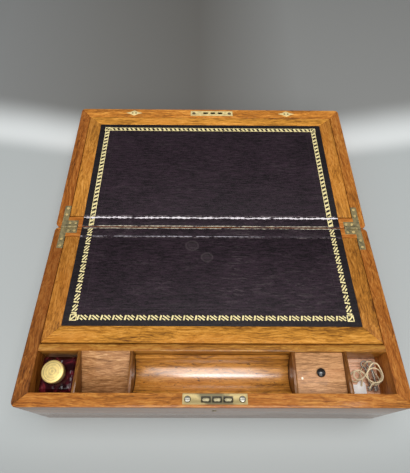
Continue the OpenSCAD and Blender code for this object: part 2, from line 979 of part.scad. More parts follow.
module one_key() {
  difference() {
    union() {
      translate([0, 0, -bow_t / 2]) cylinder(r = bow_r, h = bow_t);
      translate([0, 1 - bow_r, 0]) rotate([90, 0, 0]) cylinder(r = shank_r, h = key_l - bow_r - 1);
      translate([-bit_reach, 1 - key_l, -bit_t / 2]) cube([bit_reach, bit_w, bit_t]);
    }
    translate([0, 0, -bow_t]) cylinder(r = bow_r - bow_w, h = 2 * bow_t);
    // Slot in the bit's edge for the lock's ward
    translate([-bit_reach - 1, 2.8 - key_l, -bit_t]) cube([2.4, 1.4, 2 * bit_t]);
  }
}

module keys() {
  color(steel_colour)
    for (i = [0, 1])
      translate([key_at[i][0], key_at[i][1], floor_z + key_at[i][2]])
        rotate([key_tip, 0, 0]) rotate([0, 0, key_turn[i]]) one_key();
}

// Blank tag with one rounded lobe, which has the string's hole
tag_at = [163, -87.5];
tag_w = 13.6;
tag_l = 13;
lobe_r = 4.6;
lobe_at = [2.2, 5.8];

module key_tag() {
  color("white")
    translate([tag_at[0], tag_at[1], floor_z + 0.3])
      linear_extrude(tag_t)
        difference() {
          union() {
            square([tag_w, tag_l], center = true);
            translate(lobe_at) circle(r = lobe_r);
          }
          translate(lobe_at) circle(r = 1);
        }
}

// String of the keys: points along its centre line, the height counted from the floor
string_r = 0.8;
string_points = [[165.2, -81.7, 1.4], [165.2, -79, 4.2], [164.8, -75, 6.6], [162.8, -70.4, 7.8],
  [158.8, -67.8, 7.4], [154.8, -69.4, 6], [152.9, -73.4, 4], [154.9, -77, 2.6],
  [158.8, -78.2, 2], [162.4, -76.2, 1.8], [164.4, -72.6, 1.8], [165.6, -69, 2],
  [166.6, -65.8, 2.5], [167.8, -63.2, 3.5], [168.8, -61.6, 5.6], [169, -60.8, 8.2],
  [168.9, -60.3, 11], [168.8, -60, 13.4], [169, -59.8, 15.5], [169.6, -59.7, 17],
  [170.7, -59.6, 18], [172.1, -59.6, 18.4], [173.5, -59.7, 18], [174.6, -59.8, 16.9],
  [175.2, -60, 15.2], [175.3, -60.4, 13.2], [175.3, -60.8, 11.2], [175.5, -61.4, 9],
  [176.3, -62.8, 6.2], [178.2, -65, 4], [181, -68.6, 3.4], [183.2, -73.2, 5],
  [183.2, -78.2, 8.4], [180.2, -82, 11.2], [175.4, -83, 12], [171.2, -80.2, 12],
  [169.2, -75.6, 12.4], [169.8, -70.2, 13.4], [173.4, -66.4, 15], [178.2, -66.4, 16.4],
  [182, -69.8, 17], [182.8, -75, 16.8], [180.2, -79.4, 16], [175.4, -81.2, 15.4],
  [170.4, -79.2, 15.2], [166.6, -75, 15.6], [163.8, -70.4, 15.6], [159.6, -68, 14.4],
  [155.6, -69.8, 13], [154.6, -74.2, 12.4], [157.8, -77.8, 13.2], [162, -77.2, 15.8],
  [165.4, -73.4, 19], [168.4, -68.8, 20.8], [171, -64.4, 21.4], [174.8, -61.8, 21.6],
  [178.6, -63, 21.6], [180.8, -67.2, 21.4], [182.4, -72.2, 21.2], [182.6, -76.6, 20.6],
  [180.6, -80, 19.8], [177, -81.6, 19], [173.2, -82, 18.4], [170.2, -83.8, 17],
  [168.8, -87, 14.6]];
ring_count = 80;

// Smooth curve through the points, by the Catmull-Rom rule
function point_at(p, i) =
  i < 0 ? 2 * p[0] - p[1] : i >= len(p) ? 2 * p[len(p) - 1] - p[len(p) - 2] : p[i];
function curve_at(p, t) =
  let (i = min(floor(t), len(p) - 2), u = t - i,
    a = point_at(p, i - 1), b = point_at(p, i), c = point_at(p, i + 1), d = point_at(p, i + 2))
  0.5 * (2 * b + (c - a) * u + (2 * a - 5 * b + 4 * c - d) * u * u
    + (3 * b - a - 3 * c + d) * u * u * u);
function unit(v) = v / norm(v);
function tangents(c) = [for (i = [0:len(c) - 1])
  unit(c[min(i + 1, len(c) - 1)] - c[max(i - 1, 0)])];
// Carry a side direction along the curve without twist
function carried(t, i, side) =
  i == len(t) ? [] :
    let (s = unit(side - t[i] * (side * t[i])))
    concat([s], carried(t, i + 1, s));

module tube(points, r, rings, sides) {
  curve = [for (i = [0:rings - 1]) curve_at(points, i * (len(points) - 1) / (rings - 1))];
  t = tangents(curve);
  side = carried(t, 0, [1, 0.2, 0.1]);
  verts = [for (i = [0:rings - 1], k = [0:sides - 1])
    curve[i] + r * (cos(360 * k / sides) * side[i] + sin(360 * k / sides) * cross(t[i], side[i]))];
  walls = [for (i = [0:rings - 2], k = [0:sides - 1], half = [0, 1])
    let (a = i * sides + k, b = i * sides + (k + 1) % sides)
    half == 0 ? [a, a + sides, b] : [b, a + sides, b + sides]];
  caps = [[for (k = [0:sides - 1]) k],
    [for (k = [sides - 1:-1:0]) (rings - 1) * sides + k]];
  polyhedron(verts, concat(walls, caps), convexity = 10);
}

module key_string() {
  color("#c9b48a")
    translate([0, 0, floor_z]) tube(string_points, string_r, ring_count, 8);
}

base_front_board();
base_back_board();
base_left_board();
base_right_board();
base_bottom_board();
base_partition();
compartment_floor();
compartment_dividers();
cover_cleats();
sloped_floor();
base_flap_ledges();
base_rail_leather();
lock_case();
lock_plate();
lock_plate_screws();
keyhole_escutcheon();
base_hinge_leaves();
hinge_pins();
base_hinge_screws();
lid_front_board();
lid_back_board();
lid_left_board();
lid_right_board();
lid_top_board();
lid_flap_ledges();
lid_rail_leather();
link_plate();
link_plate_screws();
diamond_plates();
diamond_screws();
lid_hinge_leaves();
lid_hinge_screws();
base_flap_panel();
base_flap_border();
base_flap_leather();
lid_flap_panel();
lid_flap_border();
lid_flap_leather();
lock_hooks();
lock_cam();
pen_tray();
pen_cover();
cover_knob();
inkwell_glass();
inkwell_collar();
cap_washer();
inkwell_cap();
keys();
key_tag();
key_string();
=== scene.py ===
"""The looks of a wooden travelling writing case, laid open as a sloping desk.

Every size is in metres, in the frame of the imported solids: the base stands at Z = 0, its lock side
towards -Y, and the open lid lies behind it. Pieces are drawn on one of two rims, the base's or the
lid's, and then put in place.
"""

import json
import math

import bmesh
import bpy
from bpy.props import FloatProperty, FloatVectorProperty, IntProperty, PointerProperty
from mathutils import Matrix, Vector


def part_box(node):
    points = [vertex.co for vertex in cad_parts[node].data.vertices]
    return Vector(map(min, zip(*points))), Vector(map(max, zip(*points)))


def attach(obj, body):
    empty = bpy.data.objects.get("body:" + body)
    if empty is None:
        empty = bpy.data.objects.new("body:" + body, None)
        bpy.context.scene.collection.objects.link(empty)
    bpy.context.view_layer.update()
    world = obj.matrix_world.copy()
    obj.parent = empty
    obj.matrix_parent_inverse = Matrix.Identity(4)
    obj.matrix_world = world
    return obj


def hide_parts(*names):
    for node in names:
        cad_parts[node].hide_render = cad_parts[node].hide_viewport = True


bl_info = {
    "name": "Writing case",
    "version": (1, 0, 0),
    "blender": (4, 5, 0),
    "location": "3D View > Sidebar > Writing case",
    "description": "Dresses the solids of an open writing case in walnut, leather, gilt and brass",
    "category": "Object",
}

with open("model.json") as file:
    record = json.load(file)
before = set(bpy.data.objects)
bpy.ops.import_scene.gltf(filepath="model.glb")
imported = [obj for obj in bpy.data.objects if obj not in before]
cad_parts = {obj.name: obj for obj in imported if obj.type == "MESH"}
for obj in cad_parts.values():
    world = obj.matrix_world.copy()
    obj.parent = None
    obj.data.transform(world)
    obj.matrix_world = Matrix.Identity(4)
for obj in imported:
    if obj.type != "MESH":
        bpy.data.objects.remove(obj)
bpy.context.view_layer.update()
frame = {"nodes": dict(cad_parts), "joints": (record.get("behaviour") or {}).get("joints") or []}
SOLIDS = frame["nodes"]
LID_HINGE = next(joint for joint in frame["joints"] if joint["name"] == "lid_hinge")

CASE_WIDTH = 0.4
CASE_DEPTH = 0.22
CASE_HEIGHT = 0.156
FRONT_HEIGHT = 0.11
BACK_HEIGHT = 0.078
SIDE_BOARD = 0.015
# Radius of the four upright corners
CORNER = 0.006
# Between the two rims of the closed case
RIM_GAP = 0.0003
# How far a corner of the solids may lie from where it is looked for
TOLERANCE = 0.00002
SLOPE = math.atan((FRONT_HEIGHT - BACK_HEIGHT) / CASE_DEPTH)
RIM_LENGTH = CASE_DEPTH / math.cos(SLOPE)

# The base's rim: X across, Y along the slope from the lock side, Z out of the rim
BASE_RIM = Matrix.Translation((0, -CASE_DEPTH / 2, FRONT_HEIGHT)) @ Matrix.Rotation(-SLOPE, 4, "X")
HINGE_AT = Matrix.Translation(LID_HINGE["pos_m"])
OPENING = (
    HINGE_AT @ Matrix.Rotation(-math.radians(LID_HINGE["range_deg"][1]), 4, "X") @ HINGE_AT.inverted()
)
# The lid's rim, once open: X across, Y away from the hinge, Z out of the rim
LID_RIM = (
    OPENING @ BASE_RIM @ Matrix.Translation((0, RIM_LENGTH, RIM_GAP)) @ Matrix.Rotation(math.pi, 4, "X")
)


def along(y):
    """Distance along the rim from the lock side, for a place front to back."""
    return (y + CASE_DEPTH / 2) / math.cos(SLOPE)


# Front to back in the closed case: the lock plate's middle, the lid's lock rail, the partition's far side
# and the edge of the hinge rails
LOCK_PLATE_Y = -0.103
LOCK_RAIL_Y = -0.092
PARTITION_Y = -0.0455
HINGE_RAIL_Y = 0.095

# The flaps' thickness, the gap round them, the clearance on a crease, and how far a flap's end leans
FLAP_THICK = 0.008
FLAP_GAP = 0.0008
CREASE = 0.0003
LEAN = FLAP_THICK * math.sin(SLOPE)
FLAP_X = CASE_WIDTH / 2 - SIDE_BOARD - FLAP_GAP
# Widths of the flaps' borders
SIDE_BORDER = 0.0182
BASE_END_BORDER = 0.019
LID_END_BORDER = 0.016
LEATHER_X = FLAP_X - SIDE_BORDER
# Near and far ends of each flap and of its leather, along its own rim
BASE_FLAP = (along(PARTITION_Y) + FLAP_GAP + LEAN, along(HINGE_RAIL_Y) - CREASE / 2)
BASE_LEATHER = (BASE_FLAP[0] + BASE_END_BORDER, BASE_FLAP[1])
LID_CREASE = RIM_LENGTH - along(HINGE_RAIL_Y) + LEAN + FLAP_GAP / 2
LID_FLAP = (LID_CREASE + CREASE / 2, RIM_LENGTH - along(LOCK_RAIL_Y) - FLAP_GAP)
LID_LEATHER = (LID_FLAP[0], LID_FLAP[1] - LID_END_BORDER)
# The gilt band runs this much closer to the leather's ends than to its sides
END_SHIFT = 0.0015


def tint(name, description, colour):
    return FloatVectorProperty(
        name=name, description=description, subtype="COLOR", size=3, min=0, max=1, default=colour
    )


def metres(name, description, size):
    return FloatProperty(name=name, description=description, unit="LENGTH", default=size)


class CaseLook(bpy.types.PropertyGroup):
    """Colours and small sizes of the writing case."""

    wood_dark: tint("Dark grain", "Darkest streaks of the boards", (0.105, 0.030, 0.005))
    wood_mid: tint("Wood", "Main colour of the boards", (0.43, 0.150, 0.020))
    wood_light: tint("Light grain", "Lightest streaks of the boards", (0.66, 0.30, 0.060))
    border_mid: tint("Flap border", "Main colour of the polished borders", (0.48, 0.190, 0.024))
    inner_mid: tint("Inner wood", "Main colour of the pen compartments", (0.44, 0.205, 0.075))
    inner_light: tint("Inner light grain", "Lightest streaks inside", (0.68, 0.39, 0.18))
    leather: tint("Leather", "Writing leather", (0.0138, 0.0074, 0.0114))
    leather_edge: tint("Leather margin", "Leather outside the gilt band", (0.0125, 0.0090, 0.0110))
    # Rubbed crease wear, and a darker version of it for the painted sheen on wrinkles
    leather_wear_and_sheen: tint("Worn leather", "Rubbed creases and wrinkles", (0.33, 0.27, 0.27))
    gilt: tint("Gilt", "Gold of the tooled band", (1.0, 0.87, 0.43))
    brass: tint("Brass", "Bright brass", (0.82, 0.62, 0.26))
    tarnish: tint("Tarnish", "Dull film on the brass", (0.15, 0.125, 0.062))
    glass: tint("Glass", "Dark amethyst glass", (0.075, 0.008, 0.014))
    twine: tint("Twine", "Natural twine", (0.80, 0.66, 0.41))
    arris: metres("Outer arris", "Rounding of the outer edges", 0.0014)
    inner_arris: metres("Inner arris", "Rounding of the inner edges", 0.0004)
    band_in: metres("Band inset", "Leather's edge to the gilt band", 0.0076)
    band_width: metres("Band width", "Width of the gilt band", 0.0076)
    near_motifs: IntProperty(
        name="Motifs across", description="Motifs in the gilt band across the case", default=23, min=3
    )


def maths(operation, turned=False):
    """A method that adds one Math node, with the value itself last where it is turned."""

    def method(self, *others):
        values = (*others, self) if turned else (self, *others)
        return self.look.node("ShaderNodeMath", {"operation": operation}, values)

    return method


class Value:
    """A number on its way through a material. Python's operators on it add Math nodes."""

    def __init__(self, look, socket):
        self.look = look
        self.socket = socket

    __add__ = __radd__ = maths("ADD")
    __sub__ = maths("SUBTRACT")
    __rsub__ = maths("SUBTRACT", turned=True)
    __mul__ = __rmul__ = maths("MULTIPLY")
    __truediv__ = maths("DIVIDE")
    __pow__ = maths("POWER")
    __abs__ = maths("ABSOLUTE")
    least = maths("MINIMUM")
    most = maths("MAXIMUM")

    def step(self, low, high):
        """0 below low, 1 above high, and smooth between them."""
        return self.look.node(
            "ShaderNodeMapRange",
            {"interpolation_type": "SMOOTHSTEP"},
            {"Value": self, "From Min": low, "From Max": high},
        )


class Look:
    """A procedural material in the making, with one glossy shader at its end."""

    def __init__(self, name, **constants):
        self.material = bpy.data.materials.new(name)
        self.material.use_nodes = True
        self.tree = self.material.node_tree
        self.tree.nodes.clear()
        self.shader = self.tree.nodes.new("ShaderNodeBsdfPrincipled")
        output = self.tree.nodes.new("ShaderNodeOutputMaterial")
        self.tree.links.new(self.shader.outputs["BSDF"], output.inputs["Surface"])
        for key, value in constants.items():
            self.shader.inputs[key.replace("_", " ").title().replace("Ior", "IOR")].default_value = value
        # The place on the object, in metres
        self.place = self.node("ShaderNodeTexCoord", output="Object")

    def node(self, kind, settings=None, values=(), output=0):
        """Add a node with its settings, then the values or links of its inputs."""
        made = self.tree.nodes.new(kind)
        for key, value in (settings or {}).items():
            if key == "stops":
                while len(made.color_ramp.elements) < len(value):
                    made.color_ramp.elements.new(1.0)
                for stop, (at, colour) in zip(made.color_ramp.elements, value):
                    stop.position = at
                    stop.color = (*colour, 1.0)
            else:
                setattr(made, key, value)
        pairs = values.items() if isinstance(values, dict) else enumerate(values)
        for key, value in pairs:
            if isinstance(value, Value):
                self.tree.links.new(value.socket, made.inputs[key])
            else:
                made.inputs[key].default_value = value
        return Value(self, made.outputs[output])

    def parts(self):
        """X, Y and Z of the place on the object."""
        split = self.node("ShaderNodeSeparateXYZ", None, (self.place,)).socket.node
        return [Value(self, output) for output in split.outputs]

    def joined(self, x, y, z):
        return self.node("ShaderNodeCombineXYZ", None, (x, y, z))

    def stretched(self, vector, scale, shift=(0, 0, 0)):
        """A vector times a scale, for all axes or one for each, and then moved."""
        if isinstance(scale, (int, float)):
            scale = (scale, scale, scale)
        scaled = self.node("ShaderNodeVectorMath", {"operation": "MULTIPLY"}, (vector, scale))
        return self.node("ShaderNodeVectorMath", {"operation": "ADD"}, (scaled, shift))

    def noise(self, spread, shift=(0, 0, 0), detail=2.0, rough=0.5, distort=0.0):
        """Soft noise over the object, at one scale or one for each axis, or over a vector of its own."""
        vector = spread if isinstance(spread, Value) else self.stretched(self.place, spread, shift)
        return self.node(
            "ShaderNodeTexNoise",
            None,
            {"Vector": vector, "Scale": 1.0, "Detail": detail, "Roughness": rough, "Distortion": distort},
        )

    def mix(self, factor, a, b):
        """Colour a where factor is 0 and colour b where it is 1."""
        a = a if isinstance(a, Value) else (*a, 1.0)
        b = b if isinstance(b, Value) else (*b, 1.0)
        return self.node("ShaderNodeMix", {"data_type": "RGBA"}, {0: factor, 6: a, 7: b}, output=2)

    def ramp(self, value, *stops):
        return self.node("ShaderNodeValToRGB", {"stops": stops}, (value,))

    def bump(self, height, distance, strength):
        return self.node(
            "ShaderNodeBump", None, {"Height": height, "Distance": distance, "Strength": strength}
        )

    def finish(self, **links):
        for key, value in links.items():
            self.tree.links.new(value.socket, self.shader.inputs[key.replace("_", " ").title()])
        return self.material


def band_middle(opts):
    """The middle of the gilt band: its X at the sides, and its distance from the leather's free end."""
    inset = opts.band_in + opts.band_width / 2
    return LEATHER_X - inset, inset - END_SHIFT


def darker(colour, share):
    return tuple(channel * share for channel in colour)


def walnut(
    name, grain, tones, seed, gloss, level, red, figure=1.0, fine=1.25, polish=(0.09, 1.5), detail=None
):
    """Varnished walnut with its grain along one axis: wavy streaks, growth bands and short dark pores.

    Level makes the wood brighter, red redder, figure wavier and fine smaller in pattern. Polish is the
    varnish's roughness and index. A detail changes the colour and may change the varnish in places.
    """
    smooth, index = polish
    look = Look(name, specular_ior_level=0.15, coat_weight=gloss, coat_roughness=smooth, coat_ior=index)
    axis = "XYZ".index(grain)
    shift = (seed * 1.7, seed * 2.3, seed * 3.1)

    def stripes(across, lengthwise):
        scale = [across * fine] * 3
        scale[axis] = lengthwise * fine
        return look.stretched(look.place, scale, shift)

    def swayed(across, lengthwise, amount):
        """Stripes that wander sideways, and never along the grain."""
        ways = [amount] * 3
        ways[axis] = 0.0
        sideways = look.stretched(bend, ways)
        straight = stripes(across, lengthwise)
        return look.node("ShaderNodeVectorMath", {"operation": "ADD"}, (straight, sideways))

    sway = look.noise(9, shift)
    wave = look.noise(42, shift)
    bend = (sway * 2.4 + wave * 0.7) * figure
    medium = look.noise(swayed(150, 12, 1.3), detail=4, rough=0.6)
    streak = look.noise(swayed(560, 55, 4.6), detail=3, rough=0.65)
    broad = look.noise(stripes(26, 6))
    line = look.noise(swayed(760, 22, 6.2))
    pore = look.noise(stripes(1000, 190), detail=1)
    tone = 0.52 + (medium - 0.5) * 0.75 + (streak - 0.5) * 1.15 + (broad - 0.5) * 0.55
    dark, mid, light = ((c[0] * level, c[1] * level / red, c[2] * level / red) for c in tones)
    colour = look.ramp(tone, (0.18, dark), (0.37, darker(mid, 0.64)), (0.52, mid), (0.76, light))
    lines = line.step(0.58, 0.68)
    pores = pore.step(0.60, 0.72)
    redder = (mid[0] * 0.86, mid[1] * 0.62, mid[2] * 0.55)
    colour = look.mix(broad.step(0.42, 0.70) * 0.42, colour, redder)
    colour = look.mix((lines * 0.38 + pores * 0.38).least(0.7), colour, darker(dark, 0.9))
    height = streak * 0.4 - pores * 0.5 - lines * 0.2
    links = {"roughness": 0.34 + streak * 0.16, "normal": look.bump(height, 0.00014, 0.5)}
    if detail:
        colour, coat = detail(look, colour, gloss)
        if coat:
            links["coat_weight"] = coat
    return look.finish(base_color=colour, **links)


def worn_and_shaded_scoop(look, colour, gloss):
    """Dents and ink specks in the pen tray. Its scoop is darker on the far side as painted shade, and its
    top is dull.
    """
    dents = look.noise((160, 330, 330), detail=3, rough=0.6)
    specks = look.noise((480, 700, 700), detail=1)
    dark = (dents.step(0.62, 0.68) * 0.75 + specks.step(0.70, 0.76) * 0.6).least(0.85)
    colour = look.mix(dark, colour, (0.045, 0.016, 0.006))
    _, y, z = look.parts()
    # Painted shade on the far side of the scoop
    colour = look.mix(y.step(-0.068, -0.058) * 0.34, colour, (0.13, 0.045, 0.010))
    lip = 0.0012
    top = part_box("pen_tray")[1].z
    return colour, z.step(top - lip, top - 2 * lip) * gloss


def shaded_glossy_front(look, colour, gloss, closing):
    """The front face of the closed case is darkened as painted shade, and a stronger varnish there mirrors
    the floor.
    """
    _, y, z = look.parts()
    outwards = y * -closing[1][1] + z * -closing[1][2]
    reach = CASE_DEPTH / 2 + closing[1][3]
    front_face = outwards.step(reach - 0.0006, reach - 0.0002)
    # Painted shade darkens the front face
    return look.mix(front_face * 0.6, colour, (0.070, 0.040, 0.022)), front_face * (0.75 - gloss) + gloss


def base_front(look, colour, gloss):
    return shaded_glossy_front(look, colour, gloss, Matrix())


def lid_front(look, colour, gloss):
    """Under the link plate the wood is painted black as shade, which shows in the plate's three slots."""
    low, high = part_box("link_plate")
    x, y, z = look.parts()
    rim, slot_deep = 0.001, 0.013
    slot_shade = x.step(low.x, low.x + rim) * x.step(high.x, high.x - rim)
    slot_shade = slot_shade * y.step(low.y, low.y + rim) * y.step(high.y, high.y - rim)
    slot_shade = slot_shade * z.step(low.z - slot_deep, low.z - slot_deep + 4 * rim)
    # Painted shade in the slot recesses under the link plate
    colour = look.mix(slot_shade, colour, (0.006, 0.004, 0.003))
    return shaded_glossy_front(look, colour, gloss, OPENING.inverted())


def chipped(look, colour, gloss):
    """A few faint specks, and one pale chip by the cover's left edge."""
    x, y, _ = look.parts()
    away = ((x - 0.0932) ** 2 + ((y + 0.0800) * 0.8) ** 2) ** 0.5
    specks = look.noise((480, 700, 700), detail=1).step(0.70, 0.78)
    colour = look.mix(specks * 0.4, colour, (0.10, 0.04, 0.015))
    return look.mix(away.step(0.0013, 0.0008), colour, (0.95, 0.85, 0.68)), None


def writing_leather(name, opts, end, way, crease_y, seed, wrinkled=1.0, stains=()):
    """Dark tooled leather: fine grain, sideways wrinkles lightened as painted sheen, a blind line, a darker
    margin and rubbed spots.

    End is the Y of the band's middle at the free end, and way the direction from there to the hinge.
    """
    look = Look(name, specular_ior_level=0.23)
    x, y, _ = look.parts()
    grain = look.noise(1500, detail=3, rough=0.6)
    cells = look.node(
        "ShaderNodeTexVoronoi",
        {"feature": "DISTANCE_TO_EDGE"},
        {"Vector": look.stretched(look.place, 1, (seed, 0, 0)), "Scale": 820.0},
    )
    crease = look.noise((70, 330, 60), (seed, seed, 0), detail=4, rough=0.6, distort=0.8)
    long_crease = look.noise((16, 260, 60), (seed, 0, seed), detail=4, rough=0.6)
    creases = (crease.step(0.52, 0.68) * 0.8 + long_crease.step(0.60, 0.72)).least(1.0)
    cloud = look.noise((14, 18, 14), (seed, 0, 0), detail=5, rough=0.65)
    side = abs(x)
    margin_x, _ = band_middle(opts)
    ends = (y - end) * way
    inside = side.step(margin_x + 0.0004, margin_x - 0.0004) * ends.step(-0.0004, 0.0004)
    # The blind line runs parallel to the band, seven millimetres inside it
    line_gap = opts.band_width / 2 + 0.007
    line_x = margin_x - line_gap
    near_line = abs(side - line_x).step(0.0006, 0.0002) * ends.step(line_gap - 0.001, line_gap)
    end_line = abs(ends - line_gap).step(0.0006, 0.0002) * side.step(line_x + 0.001, line_x)
    blind = near_line.most(end_line)
    # Painted sheen: the creases and wrinkles inside the band are lightened in colour
    worn = creases * (0.04 + cloud.step(0.42, 0.70) * 0.26 * wrinkled) * inside
    rim = abs(y - crease_y).step(0.0020, 0.0003)
    ragged = look.noise((190, 60, 60), (seed, 0, 0), detail=5, rough=0.7)
    rubbed = rim * ragged.step(0.40, 0.66) * 0.55
    speckle = look.noise((520, 620, 520), (0, seed, 0), detail=2, rough=0.7)
    ruck = look.noise((90, 620, 90), (seed, 0, 0), detail=3, rough=0.6)
    shade = cloud.step(0.36, 0.64) * 0.2 + speckle.step(0.36, 0.62) * 0.35 + ruck.step(0.38, 0.62) * 0.45
    body = look.mix(shade, darker(opts.leather, 0.1), darker(opts.leather, 2.5))
    margin = look.mix(shade, darker(opts.leather_edge, 0.4), darker(opts.leather_edge, 1.6))
    body = look.mix(inside, margin, body)
    for at_x, at_y, radius in stains:
        away = (((x - at_x) * 0.9) ** 2 + (y - at_y) ** 2) ** 0.5
        ring = abs(away - radius).step(0.0016, 0.0004) * grain.step(0.3, 0.6)
        worn = worn + ring * 0.22 + away.step(radius, radius * 0.5) * 0.07
    # Painted sheen on the wrinkles, together with the stain rings and the blind line, all lighter than the
    # leather
    body = look.mix(worn + blind * 0.06, body, darker(opts.leather_wear_and_sheen, 0.55))
    body = look.mix(rubbed, body, opts.leather_wear_and_sheen)
    rough = 0.40 + grain * 0.16 + cloud * 0.10 + rubbed * 0.25
    height = cells.step(0.0, 0.25) * 0.5 + grain * 0.35 + creases * 0.8 - blind * 1.2
    return look.finish(base_color=body, roughness=rough, normal=look.bump(height, 0.00025, 0.7))


def gold_leaf(name, opts):
    """Gold leaf pressed into leather, rubbed away in places."""
    look = Look(name)
    wear = look.noise(520, detail=4, rough=0.7)
    patch = look.noise(30, detail=3)
    gone = (wear * 0.7 + patch * 0.4).step(0.62, 0.70)
    bright = look.mix(wear.step(0.34, 0.52), (0.60, 0.44, 0.18), opts.gilt)
    colour = look.mix(gone * 0.7, bright, (0.13, 0.075, 0.05))
    rough = 0.42 + wear * 0.25
    metal = 0.12 - gone * 0.1
    return look.finish(
        base_color=colour, roughness=rough, metallic=metal, normal=look.bump(wear, 0.0001, 0.5)
    )


def old_brass(name, opts, film, scratch="X", age=0.0, pale=False, spot=None, dark_rings=None):
    """Brass with a dull film, and darker rings round its holes where a mask of them is given.

    The film gathers in patches, or on the lock plate round a spot, given by its X and its reach.
    """
    look = Look(name)
    x, y, _ = look.parts()
    long_way = [900.0] * 3
    long_way["XYZ".index(scratch)] = 60.0
    lines = look.noise(long_way, detail=3, rough=0.6)
    cloud = look.noise(150, detail=4, rough=0.65)
    patch = cloud
    if spot:
        away = abs(x + (y - LOCK_PLATE_Y) * 0.8 - spot[0]) / spot[1]
        patch = cloud * 0.5 + 0.68 - away * 0.42
    dull = (patch.step(0.42, 0.62) * film * (1.0 - age) + age).least(1.0)
    specks = look.noise(1100, detail=1).step(0.64, 0.74)
    colour = look.mix(dull, (1.0, 0.80, 0.37) if pale else opts.brass, opts.tarnish)
    colour = look.mix(specks * 0.4, colour, darker(opts.tarnish, 0.4))
    if dark_rings:
        # Darker rings from the given mask; round the lock plate's slots they are painted shade
        colour = look.mix(dark_rings(look, x, y), colour, (0.02, 0.013, 0.008))
    rough = 0.30 + lines * 0.14 + dull * 0.22
    return look.finish(
        base_color=colour,
        roughness=rough,
        metallic=(0.16 if pale else 0.45) - dull * 0.15,
        normal=look.bump(lines * 0.6 - specks * 0.6, 0.00008, 0.5),
    )


def dull_steel(name, colour):
    look = Look(name)
    rust = look.noise(420, detail=4, rough=0.7)
    spots = rust.step(0.52, 0.68)
    tone = look.mix(spots * 0.6, colour, (0.12, 0.07, 0.035))
    return look.finish(
        base_color=tone,
        roughness=0.32 + rust * 0.25,
        metallic=1.0 - spots * 0.5,
        normal=look.bump(rust, 0.0001, 0.5),
    )


def dark_glass(name, opts):
    """Dark amethyst glass, with red patches painted in as glints of light through it."""
    look = Look(name, ior=1.52, coat_weight=0.05, coat_roughness=0.04, specular_ior_level=0.18)
    swirl = look.noise(70, detail=3, distort=1.6)
    # Painted glints: red patches in the colour
    colour = look.ramp(
        swirl,
        (0.36, darker(opts.glass, 0.18)),
        (0.56, darker(opts.glass, 0.55)),
        (0.68, (0.15, 0.014, 0.022)),
        (0.80, (0.30, 0.05, 0.05)),
    )
    wave = look.noise(130, detail=1)
    rough = 0.04 + wave * 0.05
    return look.finish(base_color=colour, roughness=rough, normal=look.bump(wave, 0.0016, 0.6))


def twine_look(name, opts):
    look = Look(name)
    hairs = look.noise(1500, detail=3, rough=0.7)
    cloud = look.noise(130)
    tone = hairs * 0.6 + cloud * 0.4
    pale = (0.86, 0.74, 0.52)
    colour = look.ramp(tone, (0.32, darker(opts.twine, 0.42)), (0.5, opts.twine), (0.68, pale))
    rough = 0.75 + hairs * 0.2
    return look.finish(base_color=colour, roughness=rough, normal=look.bump(hairs, 0.0002, 0.7))


def plain_look(name, colour, second, scale, rough, bump=0.0001, coat=0.0):
    """One finish in two close tones."""
    look = Look(name, coat_weight=coat, coat_roughness=0.08)
    cloud = look.noise(scale, detail=4, rough=0.6)
    tone = look.mix(cloud.step(0.35, 0.65), colour, second)
    rough = rough + cloud * 0.12
    return look.finish(base_color=tone, roughness=rough, normal=look.bump(cloud, bump, 0.5))


def choose(obj, *others):
    """Make one piece active, and select it and the others alone."""
    if bpy.context.object and bpy.context.object.mode != "OBJECT":
        bpy.ops.object.mode_set(mode="OBJECT")
    bpy.ops.object.select_all(action="DESELECT")
    for item in (obj, *others):
        item.select_set(True)
    bpy.context.view_layer.objects.active = obj


def pick_all():
    bpy.ops.mesh.select_all(action="SELECT")


class Editing:
    """Edit mode on one piece, all of it selected, for the length of a with block."""

    def __init__(self, obj):
        self.obj = obj

    def __enter__(self):
        choose(self.obj)
        bpy.ops.object.mode_set(mode="EDIT")
        pick_all()
        return self

    def __exit__(self, *problem):
        bpy.ops.object.mode_set(mode="OBJECT")

    def pick_edges(self, test):
        """Select the edges that pass a test, and count them."""
        bpy.ops.mesh.select_mode(type="EDGE")
        bpy.ops.mesh.select_all(action="DESELECT")
        shape = bmesh.from_edit_mesh(self.obj.data)
        found = [edge for edge in shape.edges if test(edge)]
        for edge in found:
            edge.select_set(True)
        shape.select_flush_mode()
        bmesh.update_edit_mesh(self.obj.data)
        return len(found)


def linked(name, data):
    """A new piece in the scene."""
    obj = bpy.data.objects.new(name, data)
    bpy.context.scene.collection.objects.link(obj)
    return obj


def meshed(name, verts, edges, faces):
    """A new piece from points, edges and faces."""
    mesh = bpy.data.meshes.new(name)
    mesh.from_pydata(verts, edges, faces)
    return linked(name, mesh)


def twin(obj, name):
    """A copy of a piece with a mesh of its own."""
    made = obj.copy()
    made.data = obj.data.copy()
    made.name = name
    bpy.context.scene.collection.objects.link(made)
    return made


def block(name, middle, size):
    """A box with its place and size in its mesh."""
    bpy.ops.mesh.primitive_cube_add(size=1, location=middle)
    obj = named(name)
    obj.scale = size
    bpy.ops.object.transform_apply(location=True, rotation=True, scale=True)
    return obj


def cut(obj, at, normal, keep_low):
    """Cut a piece on a plane and close it, and keep what lies behind the plane or what lies before it."""
    with Editing(obj):
        bpy.ops.mesh.bisect(
            plane_co=at, plane_no=normal, use_fill=True, clear_outer=keep_low, clear_inner=not keep_low
        )


